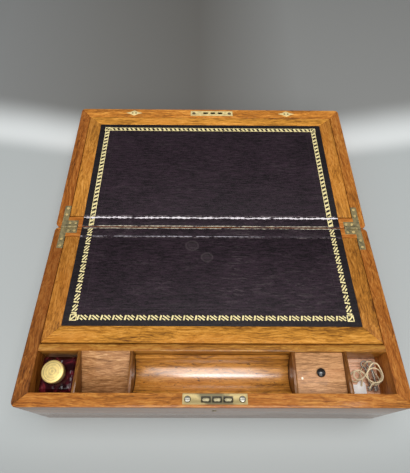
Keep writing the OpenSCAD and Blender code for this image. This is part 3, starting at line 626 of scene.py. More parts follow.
def spun(name, points, axis, steps):
    """A closed shape spun about one axis from the points of its profile."""
    obj = meshed(name, points, [(i, i + 1) for i in range(len(points) - 1)], [])
    with Editing(obj) as work:
        bpy.ops.mesh.spin(steps=steps, angle=2 * math.pi, center=(0, 0, 0), axis=axis)
        pick_all()
        bpy.ops.mesh.remove_doubles(threshold=0.000001)
        if work.pick_edges(lambda edge: edge.is_boundary):
            bpy.ops.mesh.edge_face_add()
        pick_all()
        bpy.ops.mesh.normals_make_consistent(inside=False)
    return obj


def add_modifier(obj, kind, **settings):
    """Add a modifier and apply it at once."""
    choose(obj)
    made = obj.modifiers.new(kind.title(), kind)
    for key, value in settings.items():
        setattr(made, key, value)
    bpy.ops.object.modifier_apply(modifier=made.name)


def from_solid(node, name):
    """A copy of a CAD solid, its loose triangles merged into flat faces."""
    mesh = SOLIDS[node].data.copy()
    mesh.materials.clear()
    obj = linked(name, mesh)
    with Editing(obj):
        bpy.ops.mesh.remove_doubles(threshold=0.000004)
        bpy.ops.mesh.customdata_custom_splitnormals_clear()
        bpy.ops.mesh.dissolve_limited(angle_limit=math.radians(0.4))
    return obj


def named(name):
    """Name the piece that was just added."""
    obj = bpy.context.object
    obj.name = name
    obj.data.name = name
    return obj


def round_part(low, high):
    """The foot, the radius and the height of a round solid, from its box."""
    foot = Vector(((low.x + high.x) / 2, (low.y + high.y) / 2, low.z))
    return foot, (high.x - low.x) / 2, high.z - low.z


def put(obj, matrix):
    """Move a piece drawn on a rim to where it belongs, with its place in its mesh."""
    choose(obj)
    obj.matrix_world = matrix @ obj.matrix_world
    bpy.ops.object.transform_apply(location=True, rotation=True, scale=True)
    return obj


def paint(obj, material):
    obj.data.materials.clear()
    obj.data.materials.append(material)


def dress(obj, body, material, *nodes, slot, smooth=35):
    """Give a finished piece its shading, finish and body, and hide the solids that it stands for."""
    choose(obj)
    if smooth:
        bpy.ops.object.shade_smooth_by_angle(angle=math.radians(smooth))
    paint(obj, material)
    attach(obj, body)
    if nodes:
        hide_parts(*nodes)
    return obj


def dress_solid(node, name, body, material, slot, width, segments=2, angle=40, smooth=35):
    """Soften a copy of a solid and dress it."""
    piece = soften(from_solid(node, name), width, segments, angle)
    return dress(piece, body, material, node, slot=slot, smooth=smooth)


def finish_nodes(material, *nodes):
    """Give CAD solids that stay in sight a finish of their own."""
    for node in nodes:
        paint(SOLIDS[node], material)


def join(objects, name):
    choose(*objects)
    bpy.ops.object.join()
    return named(name)


def soften(obj, width, segments=2, angle=40):
    """Round all the sharp edges of a piece a little."""
    add_modifier(
        obj,
        "BEVEL",
        width=width,
        segments=segments,
        limit_method="ANGLE",
        angle_limit=math.radians(angle),
        use_clamp_overlap=True,
        miter_outer="MITER_ARC",
    )
    return obj


def options():
    return bpy.context.scene.writing_case


def walnuts():
    """The walnut finishes, made once and shared. Their values: grain, tones, seed, gloss, level and red."""
    opts = options()
    tones = (opts.wood_dark, opts.wood_mid, opts.wood_light)
    border = (opts.wood_dark, opts.border_mid, opts.wood_light)
    inner = (darker(opts.wood_dark, 1.25), opts.inner_mid, opts.inner_light)
    shaded = [darker(tone, 0.42) for tone in tones]
    cover = (darker(opts.inner_mid, 0.5), (0.49, 0.245, 0.105), (0.62, 0.35, 0.17))
    pink = (darker(opts.wood_dark, 2.4), (0.90, 0.52, 0.32), (0.90, 0.60, 0.42))
    recipes = {
        "base_front_walnut": ("X", tones, 1.0, 0.25, 0.92, 1.02),
        "base_back_walnut": ("X", tones, 2.6, 0.4, 1.0, 1.1),
        "base_left_walnut": ("Y", tones, 3.9, 0.2, 0.55, 1.14),
        "base_right_walnut": ("Y", tones, 5.3, 0.2, 0.82, 1.08),
        "lid_front_walnut": ("X", tones, 6.2, 0.3, 1.42, 0.98),
        "lid_back_walnut": ("X", tones, 7.7, 0.3, 1.0, 1.1),
        "lid_left_walnut": ("Y", tones, 9.5, 0.3, 0.80, 1.15),
        "lid_right_walnut": ("Y", tones, 12.3, 0.3, 0.95, 1.03),
        "base_border_across": ("X", border, 7.1, 0.2, 1.16, 0.95),
        "base_border_along": ("Y", border, 8.4, 0.2, 0.86, 1.04),
        "lid_border_across": ("X", border, 13.1, 0.3, 1.38, 0.95),
        "lid_border_along": ("Y", border, 14.4, 0.3, 1.05, 1.0),
        "partition_walnut": ("X", tones, 15.6, 0.3, 0.84, 0.88),
        "tray_walnut": ("X", border, 16.9, 1.0, 1.2, 0.97),
        "inner_across": ("X", inner, 9.2, 0.1, 0.95, 1.0),
        "inner_plain": ("X", inner, 11.5, 0.2, 0.9, 1.0),
        "divider_wood": ("Y", shaded, 14.0, 0.3, 1.0, 1.0),
        "cover_wood": ("X", cover, 17.0, 0.1, 1.12, 1.0),
        "compartment_floor_wood": ("X", pink, 21.0, 0.1, 1.0, 1.0),
    }
    extras = {
        "base_front_walnut": {"detail": base_front},
        "lid_front_walnut": {"detail": lid_front},
        "tray_walnut": {"detail": worn_and_shaded_scoop, "polish": (0.26, 2.3)},
        "inner_across": {"fine": 2.0},
        "inner_plain": {"fine": 2.0},
        "cover_wood": {"figure": 0.2, "fine": 2.2, "detail": chipped},
        "compartment_floor_wood": {"figure": 0.4},
    }
    return {
        name: bpy.data.materials.get(name) or walnut(name, *recipe, **extras.get(name, {}))
        for name, recipe in recipes.items()
    }


def outline(point):
    """Whether a point of the closed case lies on its rounded outline seen from above."""
    x, y = abs(point.x), abs(point.y)
    if x > CASE_WIDTH / 2 - CORNER and y > CASE_DEPTH / 2 - CORNER:
        reach = math.hypot(x - CASE_WIDTH / 2 + CORNER, y - CASE_DEPTH / 2 + CORNER)
        return abs(reach - CORNER) < 2 * TOLERANCE
    return x > CASE_WIDTH / 2 - TOLERANCE or y > CASE_DEPTH / 2 - TOLERANCE


# Each light's name, place, what it shines on, its width and height, and its power
LIGHTS = (
    ("window_light", (-0.06, -0.85, 1.6), (0.0, -0.15, 0.05), (1.5, 1.7), 21),
    ("overhead_light", (0.20, 0.06, 1.8), (0.20, 0.06, 0), (1.2, 0.48), 13.5),
    ("front_light", (0.0, -1.9, 0.9), (0, -0.15, 0), (2.6, 1.0), 9),
    ("left_light", (-1.9, 0.1, 1.3), (0, 0, 0), (1.4, 1.4), 5),
    ("right_light", (1.9, 0.1, 1.3), (0, 0, 0), (1.4, 1.4), 3),
)
# Where the camera stands, and how it is turned to the right, down and about its own axis, in degrees
CAMERA_AT = (-0.0119, -0.1576, 0.5622)
CAMERA_TURN = (0.87, 62.26, -1.09)
# The photograph's focal length and its longer side in pixels, and the sensor's width in millimetres
FOCAL = 430.0
PHOTO_SIDE = 473.0
SENSOR = 36.0


class StageOperator(bpy.types.Operator):
    """Lay the pale floor, hang the soft lights and set the camera"""

    bl_idname = "writing_case.stage"
    bl_label = "Stage and camera"

    def execute(self, context):
        self.camera()
        self.floor()
        for light in LIGHTS:
            self.light(*light)
        world = bpy.data.worlds.new("soft_room")
        world.use_nodes = True
        sky = world.node_tree.nodes["Background"]
        sky.inputs["Color"].default_value = (0.95, 0.98, 1.0, 1.0)
        sky.inputs["Strength"].default_value = 0.18
        context.scene.world = world
        context.scene.view_settings.view_transform = "Standard"
        return {"FINISHED"}

    def camera(self):
        yaw, pitch, roll = (math.radians(angle) for angle in CAMERA_TURN)
        ahead = Vector(
            (math.sin(yaw) * math.cos(pitch), math.cos(yaw) * math.cos(pitch), -math.sin(pitch))
        )
        level = Vector((math.cos(yaw), -math.sin(yaw), 0))
        down = ahead.cross(level)
        right = level * math.cos(roll) + down * math.sin(roll)
        down = down * math.cos(roll) - level * math.sin(roll)
        turn = Matrix((right, -down, -ahead)).transposed().to_4x4()
        data = bpy.data.cameras.new("camera")
        data.lens = SENSOR * FOCAL / PHOTO_SIDE
        data.clip_start = 0.01
        camera = linked("camera", data)
        camera.matrix_world = Matrix.Translation(CAMERA_AT) @ turn
        bpy.context.scene.camera = camera

    def floor(self):
        bpy.ops.mesh.primitive_plane_add(size=9.0, location=(0, 0, 0))
        floor = named("floor")
        look = Look("pale_floor", roughness=0.6, specular_ior_level=0.3)
        x, y, _ = look.parts()
        cloud = look.noise(3, detail=3)
        speck = look.noise(700)
        pale = look.mix(cloud * 0.25 + speck * 0.2, (0.435, 0.462, 0.458), (0.482, 0.508, 0.503))
        # Painted shade: the floor darkens towards the camera
        pale = look.mix(y.step(-0.10, -0.20), pale, (0.325, 0.342, 0.338))
        # Painted light and shade: a bright strip behind the case, and then dark grey as painted shade,
        # darkest behind the lid's middle
        edge = y + cloud * 0.03 - abs(x) * 0.16
        pale = look.mix(edge.step(0.258, 0.296), pale, (0.72, 0.745, 0.74))
        behind = edge.step(0.296, 0.376) * abs(x).step(1.6, 1.1)
        dim = look.ramp(
            x + 0.5,
            (0.1, (0.232, 0.236, 0.232)),
            (0.3, (0.180, 0.178, 0.168)),
            (0.48, (0.138, 0.133, 0.122)),
            (0.66, (0.250, 0.252, 0.244)),
        )
        paint(floor, look.finish(base_color=look.mix(behind, pale, dim)))

    def light(self, name, at, towards, size, power):
        data = bpy.data.lights.new(name, "AREA")
        data.shape = "RECTANGLE"
        data.size, data.size_y = size
        data.energy = power
        lamp = linked(name, data)
        lamp.location = at
        lamp.rotation_euler = (Vector(towards) - Vector(at)).to_track_quat("-Z", "Y").to_euler()


# The string's points as in the solids, in millimetres, with Z measured from the compartment's floor
STRING_POINTS = [
    (165.2, -81.7, 1.4), (165.2, -79, 4.2), (164.8, -75, 6.6), (162.8, -70.4, 7.8),
    (158.8, -67.8, 7.4), (154.8, -69.4, 6), (152.9, -73.4, 4), (154.9, -77, 2.6),
    (158.8, -78.2, 2), (162.4, -76.2, 1.8), (164.4, -72.6, 1.8), (165.6, -69, 2),
    (166.6, -65.8, 2.5), (167.8, -63.2, 3.5), (168.8, -61.6, 5.6), (169, -60.8, 8.2),
    (168.9, -60.3, 11), (168.8, -60, 13.4), (169, -59.8, 15.5), (169.6, -59.7, 17),
    (170.7, -59.6, 18), (172.1, -59.6, 18.4), (173.5, -59.7, 18), (174.6, -59.8, 16.9),
    (175.2, -60, 15.2), (175.3, -60.4, 13.2), (175.3, -60.8, 11.2), (175.5, -61.4, 9),
    (176.3, -62.8, 6.2), (178.2, -65, 4), (181, -68.6, 3.4), (183.2, -73.2, 5),
    (183.2, -78.2, 8.4), (180.2, -82, 11.2), (175.4, -83, 12), (171.2, -80.2, 12),
    (169.2, -75.6, 12.4), (169.8, -70.2, 13.4), (173.4, -66.4, 15), (178.2, -66.4, 16.4),
    (182, -69.8, 17), (182.8, -75, 16.8), (180.2, -79.4, 16), (175.4, -81.2, 15.4),
    (170.4, -79.2, 15.2), (166.6, -75, 15.6), (163.8, -70.4, 15.6), (159.6, -68, 14.4),
    (155.6, -69.8, 13), (154.6, -74.2, 12.4), (157.8, -77.8, 13.2), (162, -77.2, 15.8),
    (165.4, -73.4, 19), (168.4, -68.8, 20.8), (171, -64.4, 21.4), (174.8, -61.8, 21.6),
    (178.6, -63, 21.6), (180.8, -67.2, 21.4), (182.4, -72.2, 21.2), (182.6, -76.6, 20.6),
    (180.6, -80, 19.8), (177, -81.6, 19), (173.2, -82, 18.4), (170.2, -83.8, 17),
    (168.8, -87, 14.6),
]
# Short straight pieces in the string between two of its points
STRING_STEPS = 10
STRING_RADIUS = 0.0008
COMPARTMENT_FLOOR = 0.066
# Where each key's bow is, how far the key is turned on the floor, and how far its bow is tipped up
KEY_AT = ((0.1692, -0.0605, 0.0742), (0.175, -0.061, 0.0768))
KEY_TURN = (13, 12)
KEY_TIP = 13


class KeysOperator(bpy.types.Operator):
    """Model the twine, the two keys and the blank tag"""

    bl_idname = "writing_case.keys"
    bl_label = "Keys, string and tag"

    def execute(self, context):
        opts = options()
        twine = twine_look("twine", opts)
        curve = self.smooth([Vector(point) * 0.001 for point in STRING_POINTS])
        curve = [point + Vector((0, 0, COMPARTMENT_FLOOR)) for point in curve]
        string = dress(self.cord(curve), "key_bunch", twine, "key_string", slot="twine", smooth=0)
        knot, tie = (
            dress(self.knot(name, at), "key_bunch", twine, slot="twine", smooth=60)
            for name, at in (("end_knot", curve[-1]), ("tag_knot", curve[0]))
        )
        steel = dull_steel("key_steel", (0.34, 0.31, 0.27))
        keys = join([self.key(at, turn) for at, turn in zip(KEY_AT, KEY_TURN)], "two_keys")
        dress(keys, "key_bunch", steel, "keys", slot="steel_parts")
        card = plain_look("card", (1.0, 0.99, 0.96), (0.93, 0.91, 0.87), 160, 0.6)
        tag = dress_solid("key_tag", "blank_tag", "key_bunch", card, "tag_card", 0.00018, angle=60)
        return {"FINISHED"}

    def smooth(self, points):
        """Points along a smooth curve through the given ones."""
        ends = [2 * points[0] - points[1], *points, 2 * points[-1] - points[-2]]
        curve = []
        for a, b, c, d in zip(ends, ends[1:], ends[2:], ends[3:]):
            for step in range(STRING_STEPS):
                u = step / STRING_STEPS
                bent = (2 * a - 5 * b + 4 * c - d) * u**2 + (3 * b - a - 3 * c + d) * u**3
                curve.append(0.5 * (2 * b + (c - a) * u + bent))
        curve.append(points[-1])
        return curve

    def cord(self, curve):
        """A twine of two twisted strands, as one tube."""
        sides = 12
        pitch = 0.0042
        verts = []
        faces = []
        way = (curve[1] - curve[0]).normalized()
        across = way.orthogonal().normalized()
        run = 0.0
        for i, point in enumerate(curve):
            ahead = (curve[min(i + 1, len(curve) - 1)] - curve[max(i - 1, 0)]).normalized()
            across = (across - ahead * across.dot(ahead)).normalized()
            other = ahead.cross(across)
            run += (point - curve[i - 1]).length if i else 0.0
            twist = 2 * math.pi * run / pitch
            for k in range(sides):
                angle = 2 * math.pi * k / sides
                lobe = 0.74 + 0.26 * abs(math.cos(angle - twist))
                verts.append(
                    point + (across * math.cos(angle) + other * math.sin(angle)) * STRING_RADIUS * lobe
                )
        for i in range(len(curve) - 1):
            for k in range(sides):
                a, b = i * sides + k, i * sides + (k + 1) % sides
                faces.append((a, b, b + sides, a + sides))
        faces.append(tuple(reversed(range(sides))))
        faces.append(tuple(range(len(verts) - sides, len(verts))))
        obj = meshed("string", verts, [], faces)
        with Editing(obj):
            bpy.ops.mesh.normals_make_consistent(inside=False)
            bpy.ops.mesh.faces_shade_smooth()
        return obj

    def knot(self, name, at):
        """A small overhand knot: two crossed rings."""
        rings = []
        for tilt in (0.5, 1.9):
            bpy.ops.mesh.primitive_torus_add(
                location=at,
                rotation=(tilt, 0.7 * tilt, tilt),
                major_radius=0.0007,
                minor_radius=0.0006,
                major_segments=20,
                minor_segments=10,
            )
            rings.append(bpy.context.object)
        return put(join(rings, name), Matrix())

    def key(self, at, turn):
        """A small key: ring bow, turned collar, hollow pipe and a slotted bit."""
        bpy.ops.mesh.primitive_torus_add(
            major_radius=0.00345, minor_radius=0.00075, major_segments=40, minor_segments=12
        )
        bow = bpy.context.object
        bow.scale = (1.0, 1.0, 1.15)
        # The pipe's points: their distance from the bow's middle and their radius
        profile = (
            (0.0038, 0.0008), (0.0042, 0.0017), (0.0048, 0.0019), (0.0054, 0.0012), (0.0064, 0.0012),
            (0.0068, 0.0018), (0.0074, 0.0018), (0.0078, 0.00135), (0.0270, 0.00135), (0.0279, 0.0012),
            (0.0279, 0.0008), (0.0240, 0.0008),
        )
        pipe = spun("pipe", [(radius, -reach, 0) for reach, radius in profile], (0, 1, 0), 24)
        bit = block("bit", (-0.0022, -0.0256, 0), (0.0031, 0.0048, 0.0013))
        slot = block("slot", (-0.0035, -0.0256, 0), (0.0018, 0.0011, 0.004))
        add_modifier(bit, "BOOLEAN", operation="DIFFERENCE", object=slot, solver="EXACT")
        bpy.data.objects.remove(slot)
        key = join([bow, pipe, soften(bit, 0.00012, 1)], "key")
        matrix = (
            Matrix.Translation(at)
            @ Matrix.Rotation(math.radians(KEY_TIP), 4, "X")
            @ Matrix.Rotation(math.radians(turn), 4, "Z")
        )
        return put(key, matrix)


class BoardsOperator(bpy.types.Operator):
    """Round the arrises of the mitred boards and give each its grain"""

    bl_idname = "writing_case.boards"
    bl_label = "Boards"

    def execute(self, context):
        woods = walnuts()
        for half in ("base", "lid"):
            for side in ("front", "back", "left", "right"):
                node = f"{half}_{side}_board"
                wood = f"{half}_{side}_walnut"
                board = from_solid(node, wood)
                self.round_arrises(board, half)
                dress(board, half, woods[wood], node, slot="case_wood", smooth=32)
        finish_nodes(woods["lid_back_walnut"], "lid_top_board")
        ledges = ("base_flap_ledges", "lid_flap_ledges", "cover_cleats")
        finish_nodes(woods["inner_plain"], "base_bottom_board", *ledges)
        return {"FINISHED"}

    def round_arrises(self, board, half):
        """Bevel a board's edges on the case's outline, and more finely its inner edges on the rim."""
        opts = options()
        closed, level, end = Matrix(), 0.0, 0.0
        if half == "lid":
            closed, level, end = OPENING.inverted(), RIM_GAP, CASE_HEIGHT
        rim = BASE_RIM.inverted()
        inner_x = CASE_WIDTH / 2 - SIDE_BOARD

        def ends_of(edge):
            return [closed @ vert.co for vert in edge.verts]

        def on_rim(points):
            return all(abs((rim @ point).z - level) < TOLERANCE for point in points)

        def outer(edge):
            points = ends_of(edge)
            on_end = all(abs(point.z - end) < TOLERANCE for point in points)
            return all(outline(point) for point in points) and (on_rim(points) or on_end)

        def inner(edge):
            points = ends_of(edge)
            if not on_rim(points) or any(outline(point) for point in points):
                return False
            along_side = all(abs(abs(point.x) - inner_x) < TOLERANCE for point in points)
            # Long edges that run across the case, without the mitres and the outer faces
            run = points[0] - points[1]
            across = abs(run.y) < TOLERANCE and abs(run.x) > 0.1
            return along_side or (across and abs(points[0].y) < CASE_DEPTH / 2 - 0.01)

        with Editing(board) as work:
            if work.pick_edges(outer):
                bpy.ops.mesh.bevel(offset=opts.arris, segments=3, clamp_overlap=False)
            if work.pick_edges(inner):
                bpy.ops.mesh.bevel(offset=opts.inner_arris, segments=2, clamp_overlap=True)


class FlapsOperator(bpy.types.Operator):
    """Frame both writing flaps in mitred walnut borders"""

    bl_idname = "writing_case.flaps"
    bl_label = "Flap borders and panels"

    def execute(self, context):
        woods = walnuts()
        self.flap("base_flap", BASE_RIM, BASE_FLAP, BASE_LEATHER[0], woods)
        self.flap("lid_flap", LID_RIM, LID_FLAP, LID_LEATHER[1], woods)
        finish_nodes(woods["inner_plain"], "base_flap_panel", "lid_flap_panel")
        return {"FINISHED"}

    def flap(self, body, rim, reach, inner_end, woods):
        """The two side bars and the end bar of one flap."""
        free_end = min(reach, key=lambda end: abs(end - inner_end))
        low, high = sorted((free_end, inner_end))
        across = self.bar(f"{body}_border_across", (-FLAP_X, low), (FLAP_X, high))
        for way in (-1, 1):
            self.mitre(across, way, free_end, inner_end, keep_middle=True)
        bars = [(across, "across")]
        for way, word in ((-1, "left"), (1, "right")):
            x0, x1 = sorted((way * FLAP_X, way * LEATHER_X))
            side = self.bar(f"{body}_border_{word}", (x0, reach[0]), (x1, reach[1]))
            self.mitre(side, way, free_end, inner_end, keep_middle=False)
            bars.append((side, "along"))
        for obj, wood in bars:
            soften(obj, 0.00055, 2, 60)
            put(obj, rim)
            stands_for = [f"{body}_border"] if obj is across else []
            material = woods[body.replace("flap", "border") + "_" + wood]
            dress(obj, body, material, *stands_for, slot="case_wood")

    def bar(self, name, low, high):
        middle = ((low[0] + high[0]) / 2, (low[1] + high[1]) / 2, -FLAP_THICK / 2)
        return block(name, middle, (high[0] - low[0], high[1] - low[1], FLAP_THICK))

    def mitre(self, obj, way, free_end, inner_end, keep_middle):
        """Cut one end of a bar on the line from the flap's corner to the leather's."""
        corner = Vector((way * FLAP_X, free_end, 0))
        inside = Vector((way * LEATHER_X, inner_end, 0))
        normal = (inside - corner).cross(Vector((0, 0, 1))).normalized()
        if normal.x * way < 0:
            normal = -normal
        cut(obj, corner, normal, keep_middle)


class LeatherOperator(bpy.types.Operator):
    """Lay the writing leather on the flaps and the hinge rails, with its worn creases"""

    bl_idname = "writing_case.leather"
    bl_label = "Leather"

    def execute(self, context):
        opts = options()
        _, band = band_middle(opts)
        near = (BASE_RIM @ Vector((0, BASE_LEATHER[0] + band, 0))).y
        far = (LID_RIM @ Vector((0, LID_LEATHER[1] - band, 0))).y
        base_crease = (BASE_RIM @ Vector((0, BASE_LEATHER[1], 0))).y
        lid_crease = (LID_RIM @ Vector((0, LID_LEATHER[0], 0))).y
        hinge = LID_HINGE["pos_m"][1]
        # X, Y and radius of two faint stains
        stains = ((-0.0242, 0.0818, 0.0068), (-0.0056, 0.0650, 0.0060))
        lower = writing_leather("leather_base", opts, near, 1, base_crease, 3.0, stains=stains)
        upper = writing_leather("leather_lid", opts, far, -1, lid_crease, 8.0, 0.35)
        rail = writing_leather("leather_base_rail", opts, near, 1, hinge, 5.0, 1.8)
        lid_rail = writing_leather("leather_lid_rail", opts, far, -1, hinge, 6.0)
        for node, body, material in (
            ("base_flap_leather", "base_flap", lower),
            ("base_rail_leather", "base", rail),
            ("lid_flap_leather", "lid_flap", upper),
            ("lid_rail_leather", "lid", lid_rail),
        ):
            name = node.replace("leather", "skin")
            dress_solid(node, name, body, material, "writing_leather", 0.00025)
        white = (0.84, 0.78, 0.81)
        grey = (0.50, 0.47, 0.52)
        # Buff on the hinge edges: ragged wear, and painted highlight along the edges
        hinge_highlight_buff = (0.56, 0.50, 0.38)
        # Colour, name, body and rim of each worn edge, its place along the rim, its width and its seed
        for edge in (
            (white, "lid_crease_wear", "lid", LID_RIM, LID_CREASE - 0.0022, 0.0036, 2.0),
            (grey, "base_crease_wear", "base", BASE_RIM, BASE_FLAP[1] + 0.0010, 0.0014, 5.0, True),
            (hinge_highlight_buff, "lid_hinge_wear", "lid", LID_RIM, 0.0015, 0.0015, 7.0),
            (hinge_highlight_buff, "base_hinge_wear", "base", BASE_RIM, RIM_LENGTH - 0.0016, 0.0015, 9.0),
        ):
            self.worn_edge(*edge)
        return {"FINISHED"}

    def frayed(self, name, colour, width, fades):
        """Bare leather in ragged patches, with dark breaks across it, more of it on a wide edge."""
        opts = options()
        look = Look(name, specular_ior_level=0.2)
        patches = look.noise((60, 260, 260), detail=4, rough=0.7)
        breaks = look.noise((130, 380, 380), detail=4, rough=0.7)
        wide = width > 0.003
        least = 0.39 if wide else 0.42
        bare = (patches * 0.6 + breaks * 0.4).step(least, least + 0.12)
        if fades:
            x, _, _ = look.parts()
            bare = bare * (x.step(0.11, -0.03) * 0.85 + 0.15)
        colour = look.mix(bare, darker(opts.leather, 2.2), colour)
        return look.finish(
            base_color=colour, roughness=0.6 + breaks * 0.2, normal=look.bump(breaks, width * 0.1, 0.5)
        )

    def worn_edge(self, colour, name, body, rim, at, width, seed, fades=False):
        """A frayed lip of bare leather along a crease or a hinge edge; along a hinge edge its pale colour
        is also painted highlight.
        """
        bpy.ops.mesh.primitive_grid_add(x_subdivisions=260, y_subdivisions=4, size=1)
        obj = named(name)
        obj.scale = (2 * LEATHER_X - 0.001, width, 1)
        bpy.ops.object.transform_apply(location=False, rotation=False, scale=True)
        for vert in obj.data.vertices:
            x = vert.co.x * 1000
            slow = math.sin(x * 0.9 + seed)
            wobble = slow + math.sin(x * 2.3 + seed * 2) * 0.7 + math.sin(x * 5.1 + seed) * 0.5
            reach = 0.58 + 0.22 * wobble
            rise = max(0.0, min(1.0, reach)) * (1 - (2 * vert.co.y / width) ** 2)
            drift = math.sin(x * 0.31 + seed) + math.sin(x * 0.09)
            vert.co.z = 0.00006 + 0.00007 * rise
            vert.co.y = vert.co.y * max(0.25, reach) + width * 0.06 * drift
        add_modifier(obj, "SOLIDIFY", thickness=0.0003, offset=-1)
        put(obj, rim @ Matrix.Translation((0, at, 0)))
        worn = self.frayed(name + "_look", colour, width, fades)
        dress(obj, body, worn, slot="writing_leather", smooth=50)


# Length of one motif as drawn, how high the band lies, and how flat its round lines are pressed
MOTIF_LENGTH = 0.0131
GILT_LIFT = 0.00003
GILT_FLAT = 0.09
# The gilt stops this far from a crease or from the hinge
GILT_GAP = 0.0006


class GiltOperator(bpy.types.Operator):
    """Tool the gilt band round the leather, one motif copied along each side"""

    bl_idname = "writing_case.gilt"
    bl_label = "Gilt band"

    def execute(self, context):
        opts = options()
        gold = gold_leaf("gold_leaf", opts)
        in_x, band = band_middle(opts)
        base_end, base_hinge = BASE_LEATHER[0] + band, RIM_LENGTH - GILT_GAP
        self.half("base", BASE_RIM, in_x, base_end, base_hinge, BASE_FLAP[1], gold)
        self.half("lid", LID_RIM, in_x, LID_LEATHER[1] - band, GILT_GAP, LID_CREASE, gold)
        return {"FINISHED"}

    def half(self, name, rim, in_x, end, hinge, crease, gold):
        """The band of one half, from the free end down both sides to the hinge, parted on the crease."""
        opts = options()
        way = math.copysign(1, hinge - end)
        start = end + way * opts.band_width / 2
        count = max(2, round(abs(hinge - start) / MOTIF_LENGTH))
        pitch = abs(hinge - start) / count
        across_pitch = (2 * in_x - opts.band_width) / opts.near_motifs
        motif = self.motif(name)
        marks = []
        for i in range(opts.near_motifs):
            at = -in_x + opts.band_width / 2 + (i + 0.5) * across_pitch
            marks.append(self.copy(motif, (at, end), across_pitch, 0))
        for side in (-1, 1):
            for i in range(count):
                at = start + way * (i + 0.5) * pitch
                marks.append(self.copy(motif, (side * in_x, at), pitch, math.pi / 2))
            marks.append(self.corner((side * in_x, end)))
        bpy.data.objects.remove(motif)
        flap = join(marks, f"{name}_flap_gilt")
        rail = twin(flap, f"{name}_rail_gilt")
        for obj, body, keep_low, gap in (
            (flap, f"{name}_flap", way > 0, -way * GILT_GAP),
            (rail, name, way < 0, way * GILT_GAP),
        ):
            cut(obj, (0, crease + gap, 0), (0, 1, 0), keep_low)
            put(obj, rim)
            dress(obj, body, gold, slot="writing_leather", smooth=50)

    def line(self, points, radii, closed=False):
        """One pressed line of the pattern, drawn as a thin curve and flattened."""
        data = bpy.data.curves.new("line", "CURVE")
        data.dimensions = "3D"
        spline = data.splines.new("POLY")
        spline.points.add(len(points) - 1)
        for point, (x, y), radius in zip(spline.points, points, radii):
            point.co = (x, y, 0, 1)
            point.radius = radius
        spline.use_cyclic_u = closed
        data.bevel_depth = 0.0001
        data.bevel_resolution = 0
        data.use_fill_caps = True
        choose(linked("line", data))
        bpy.ops.object.convert(target="MESH")
        return bpy.context.object

    def motif(self, name):
        """One pitch of the band: a bar and slanting strokes, or on the lid two broad ones between lines."""
        half = options().band_width / 2 - 0.0009
        # Both ends of each stroke, and its thickness at one end, in the middle and at the other
        strokes = (
            ((-0.0054, -half), (-0.0044, half), (9.5, 9.5, 9.5)),
            ((-0.0024, half - 0.0002), (0.0046, 0.0002 - half), (7.5, 9, 7.5)),
            ((0.0019, half), (0.0055, 0.0001), (7, 7, 5)),
            ((-0.0030, -0.0005), (0.0002, -half), (5, 7, 7)),
        )
        if name == "lid":
            strokes = (
                ((-0.0054, half - 0.0002), (-0.0020, 0.0002 - half), (12, 15, 12)),
                ((0.0008, half - 0.0002), (0.0042, 0.0002 - half), (12, 15, 12)),
                ((-0.0062, 0.0002 - half), (0.0062, 0.0002 - half), (4, 4, 4)),
                ((-0.0062, half - 0.0002), (0.0062, half - 0.0002), (4, 4, 4)),
            )
        lines = []
        for start, stop, radii in strokes:
            middle = ((start[0] + stop[0]) / 2, (start[1] + stop[1]) / 2)
            lines.append(self.line([start, middle, stop], radii))
        return join(lines, "motif")

    def copy(self, motif, at, pitch, turn):
        """The motif once more, turned and stretched to one pitch of the band."""
        obj = twin(motif, "motif")
        spin = Matrix.Rotation(turn, 4, "Z")
        size = Matrix.Diagonal((pitch / MOTIF_LENGTH, 1.0, GILT_FLAT, 1.0))
        obj.matrix_world = Matrix.Translation((*at, GILT_LIFT)) @ spin @ size
        return obj

    def corner(self, at):
        """A square with one diagonal where two sides of the band meet."""
        half = options().band_width / 2 - 0.0005
        square = [(-half, -half), (half, -half), (half, half), (-half, half)]
        border = self.line(square, (8, 8, 8, 8), closed=True)
        diagonal = self.line([(-half, -half), (half, half)], (8, 8))
        obj = join([border, diagonal], "corner")
        obj.matrix_world = Matrix.Translation((*at, GILT_LIFT)) @ Matrix.Diagonal((1, 1, GILT_FLAT, 1))
        return obj


class PensOperator(bpy.types.Operator):
    """Finish the pen compartments: partition, dividers, floors, tray and cover"""

    bl_idname = "writing_case.pens"
    bl_label = "Pen compartments"

    def execute(self, context):
        woods = walnuts()
        # Each solid with its body, its wood and the rounding of its edges
        for node, body, wood, width in (
            ("base_partition", "base", "partition_walnut", 0.0005),
            ("compartment_dividers", "base", "divider_wood", 0.0003),
            ("sloped_floor", "base", "inner_across", 0.0004),
            ("pen_tray", "tray", "tray_walnut", 0.0005),
            ("pen_cover", "cover", "cover_wood", 0.0005),
        ):
            name = f"{node}_wood"
            dress_solid(node, name, body, woods[wood], "inner_wood", width, angle=50, smooth=32)
        finish_nodes(woods["compartment_floor_wood"], "compartment_floor")
        self.knob()
        return {"FINISHED"}

    def knob(self):
        """A turned black knob, spun from its profile."""
        foot, radius, tall = round_part(*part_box("cover_knob"))
        profile = [(0.0, 1.0)]
        for i in range(1, 9):
            angle = math.pi / 2 * i / 9
            profile.append((math.sin(angle), 0.34 + 0.66 * math.cos(angle)))
        profile += [(0.99, 0.32), (0.86, 0.24), (0.62, 0.2), (0.6, 0.0), (0.0, 0.0)]
        knob = spun("black_knob", [(radius * x, 0, tall * z) for x, z in profile], (0, 0, 1), 48)
        put(knob, Matrix.Translation(foot))
        black = plain_look("ebony", (0.005, 0.004, 0.004), (0.012, 0.009, 0.008), 260, 0.07, 0.00003, 0.5)
        dress(knob, "cover", black, "cover_knob", slot="ebony", smooth=50)


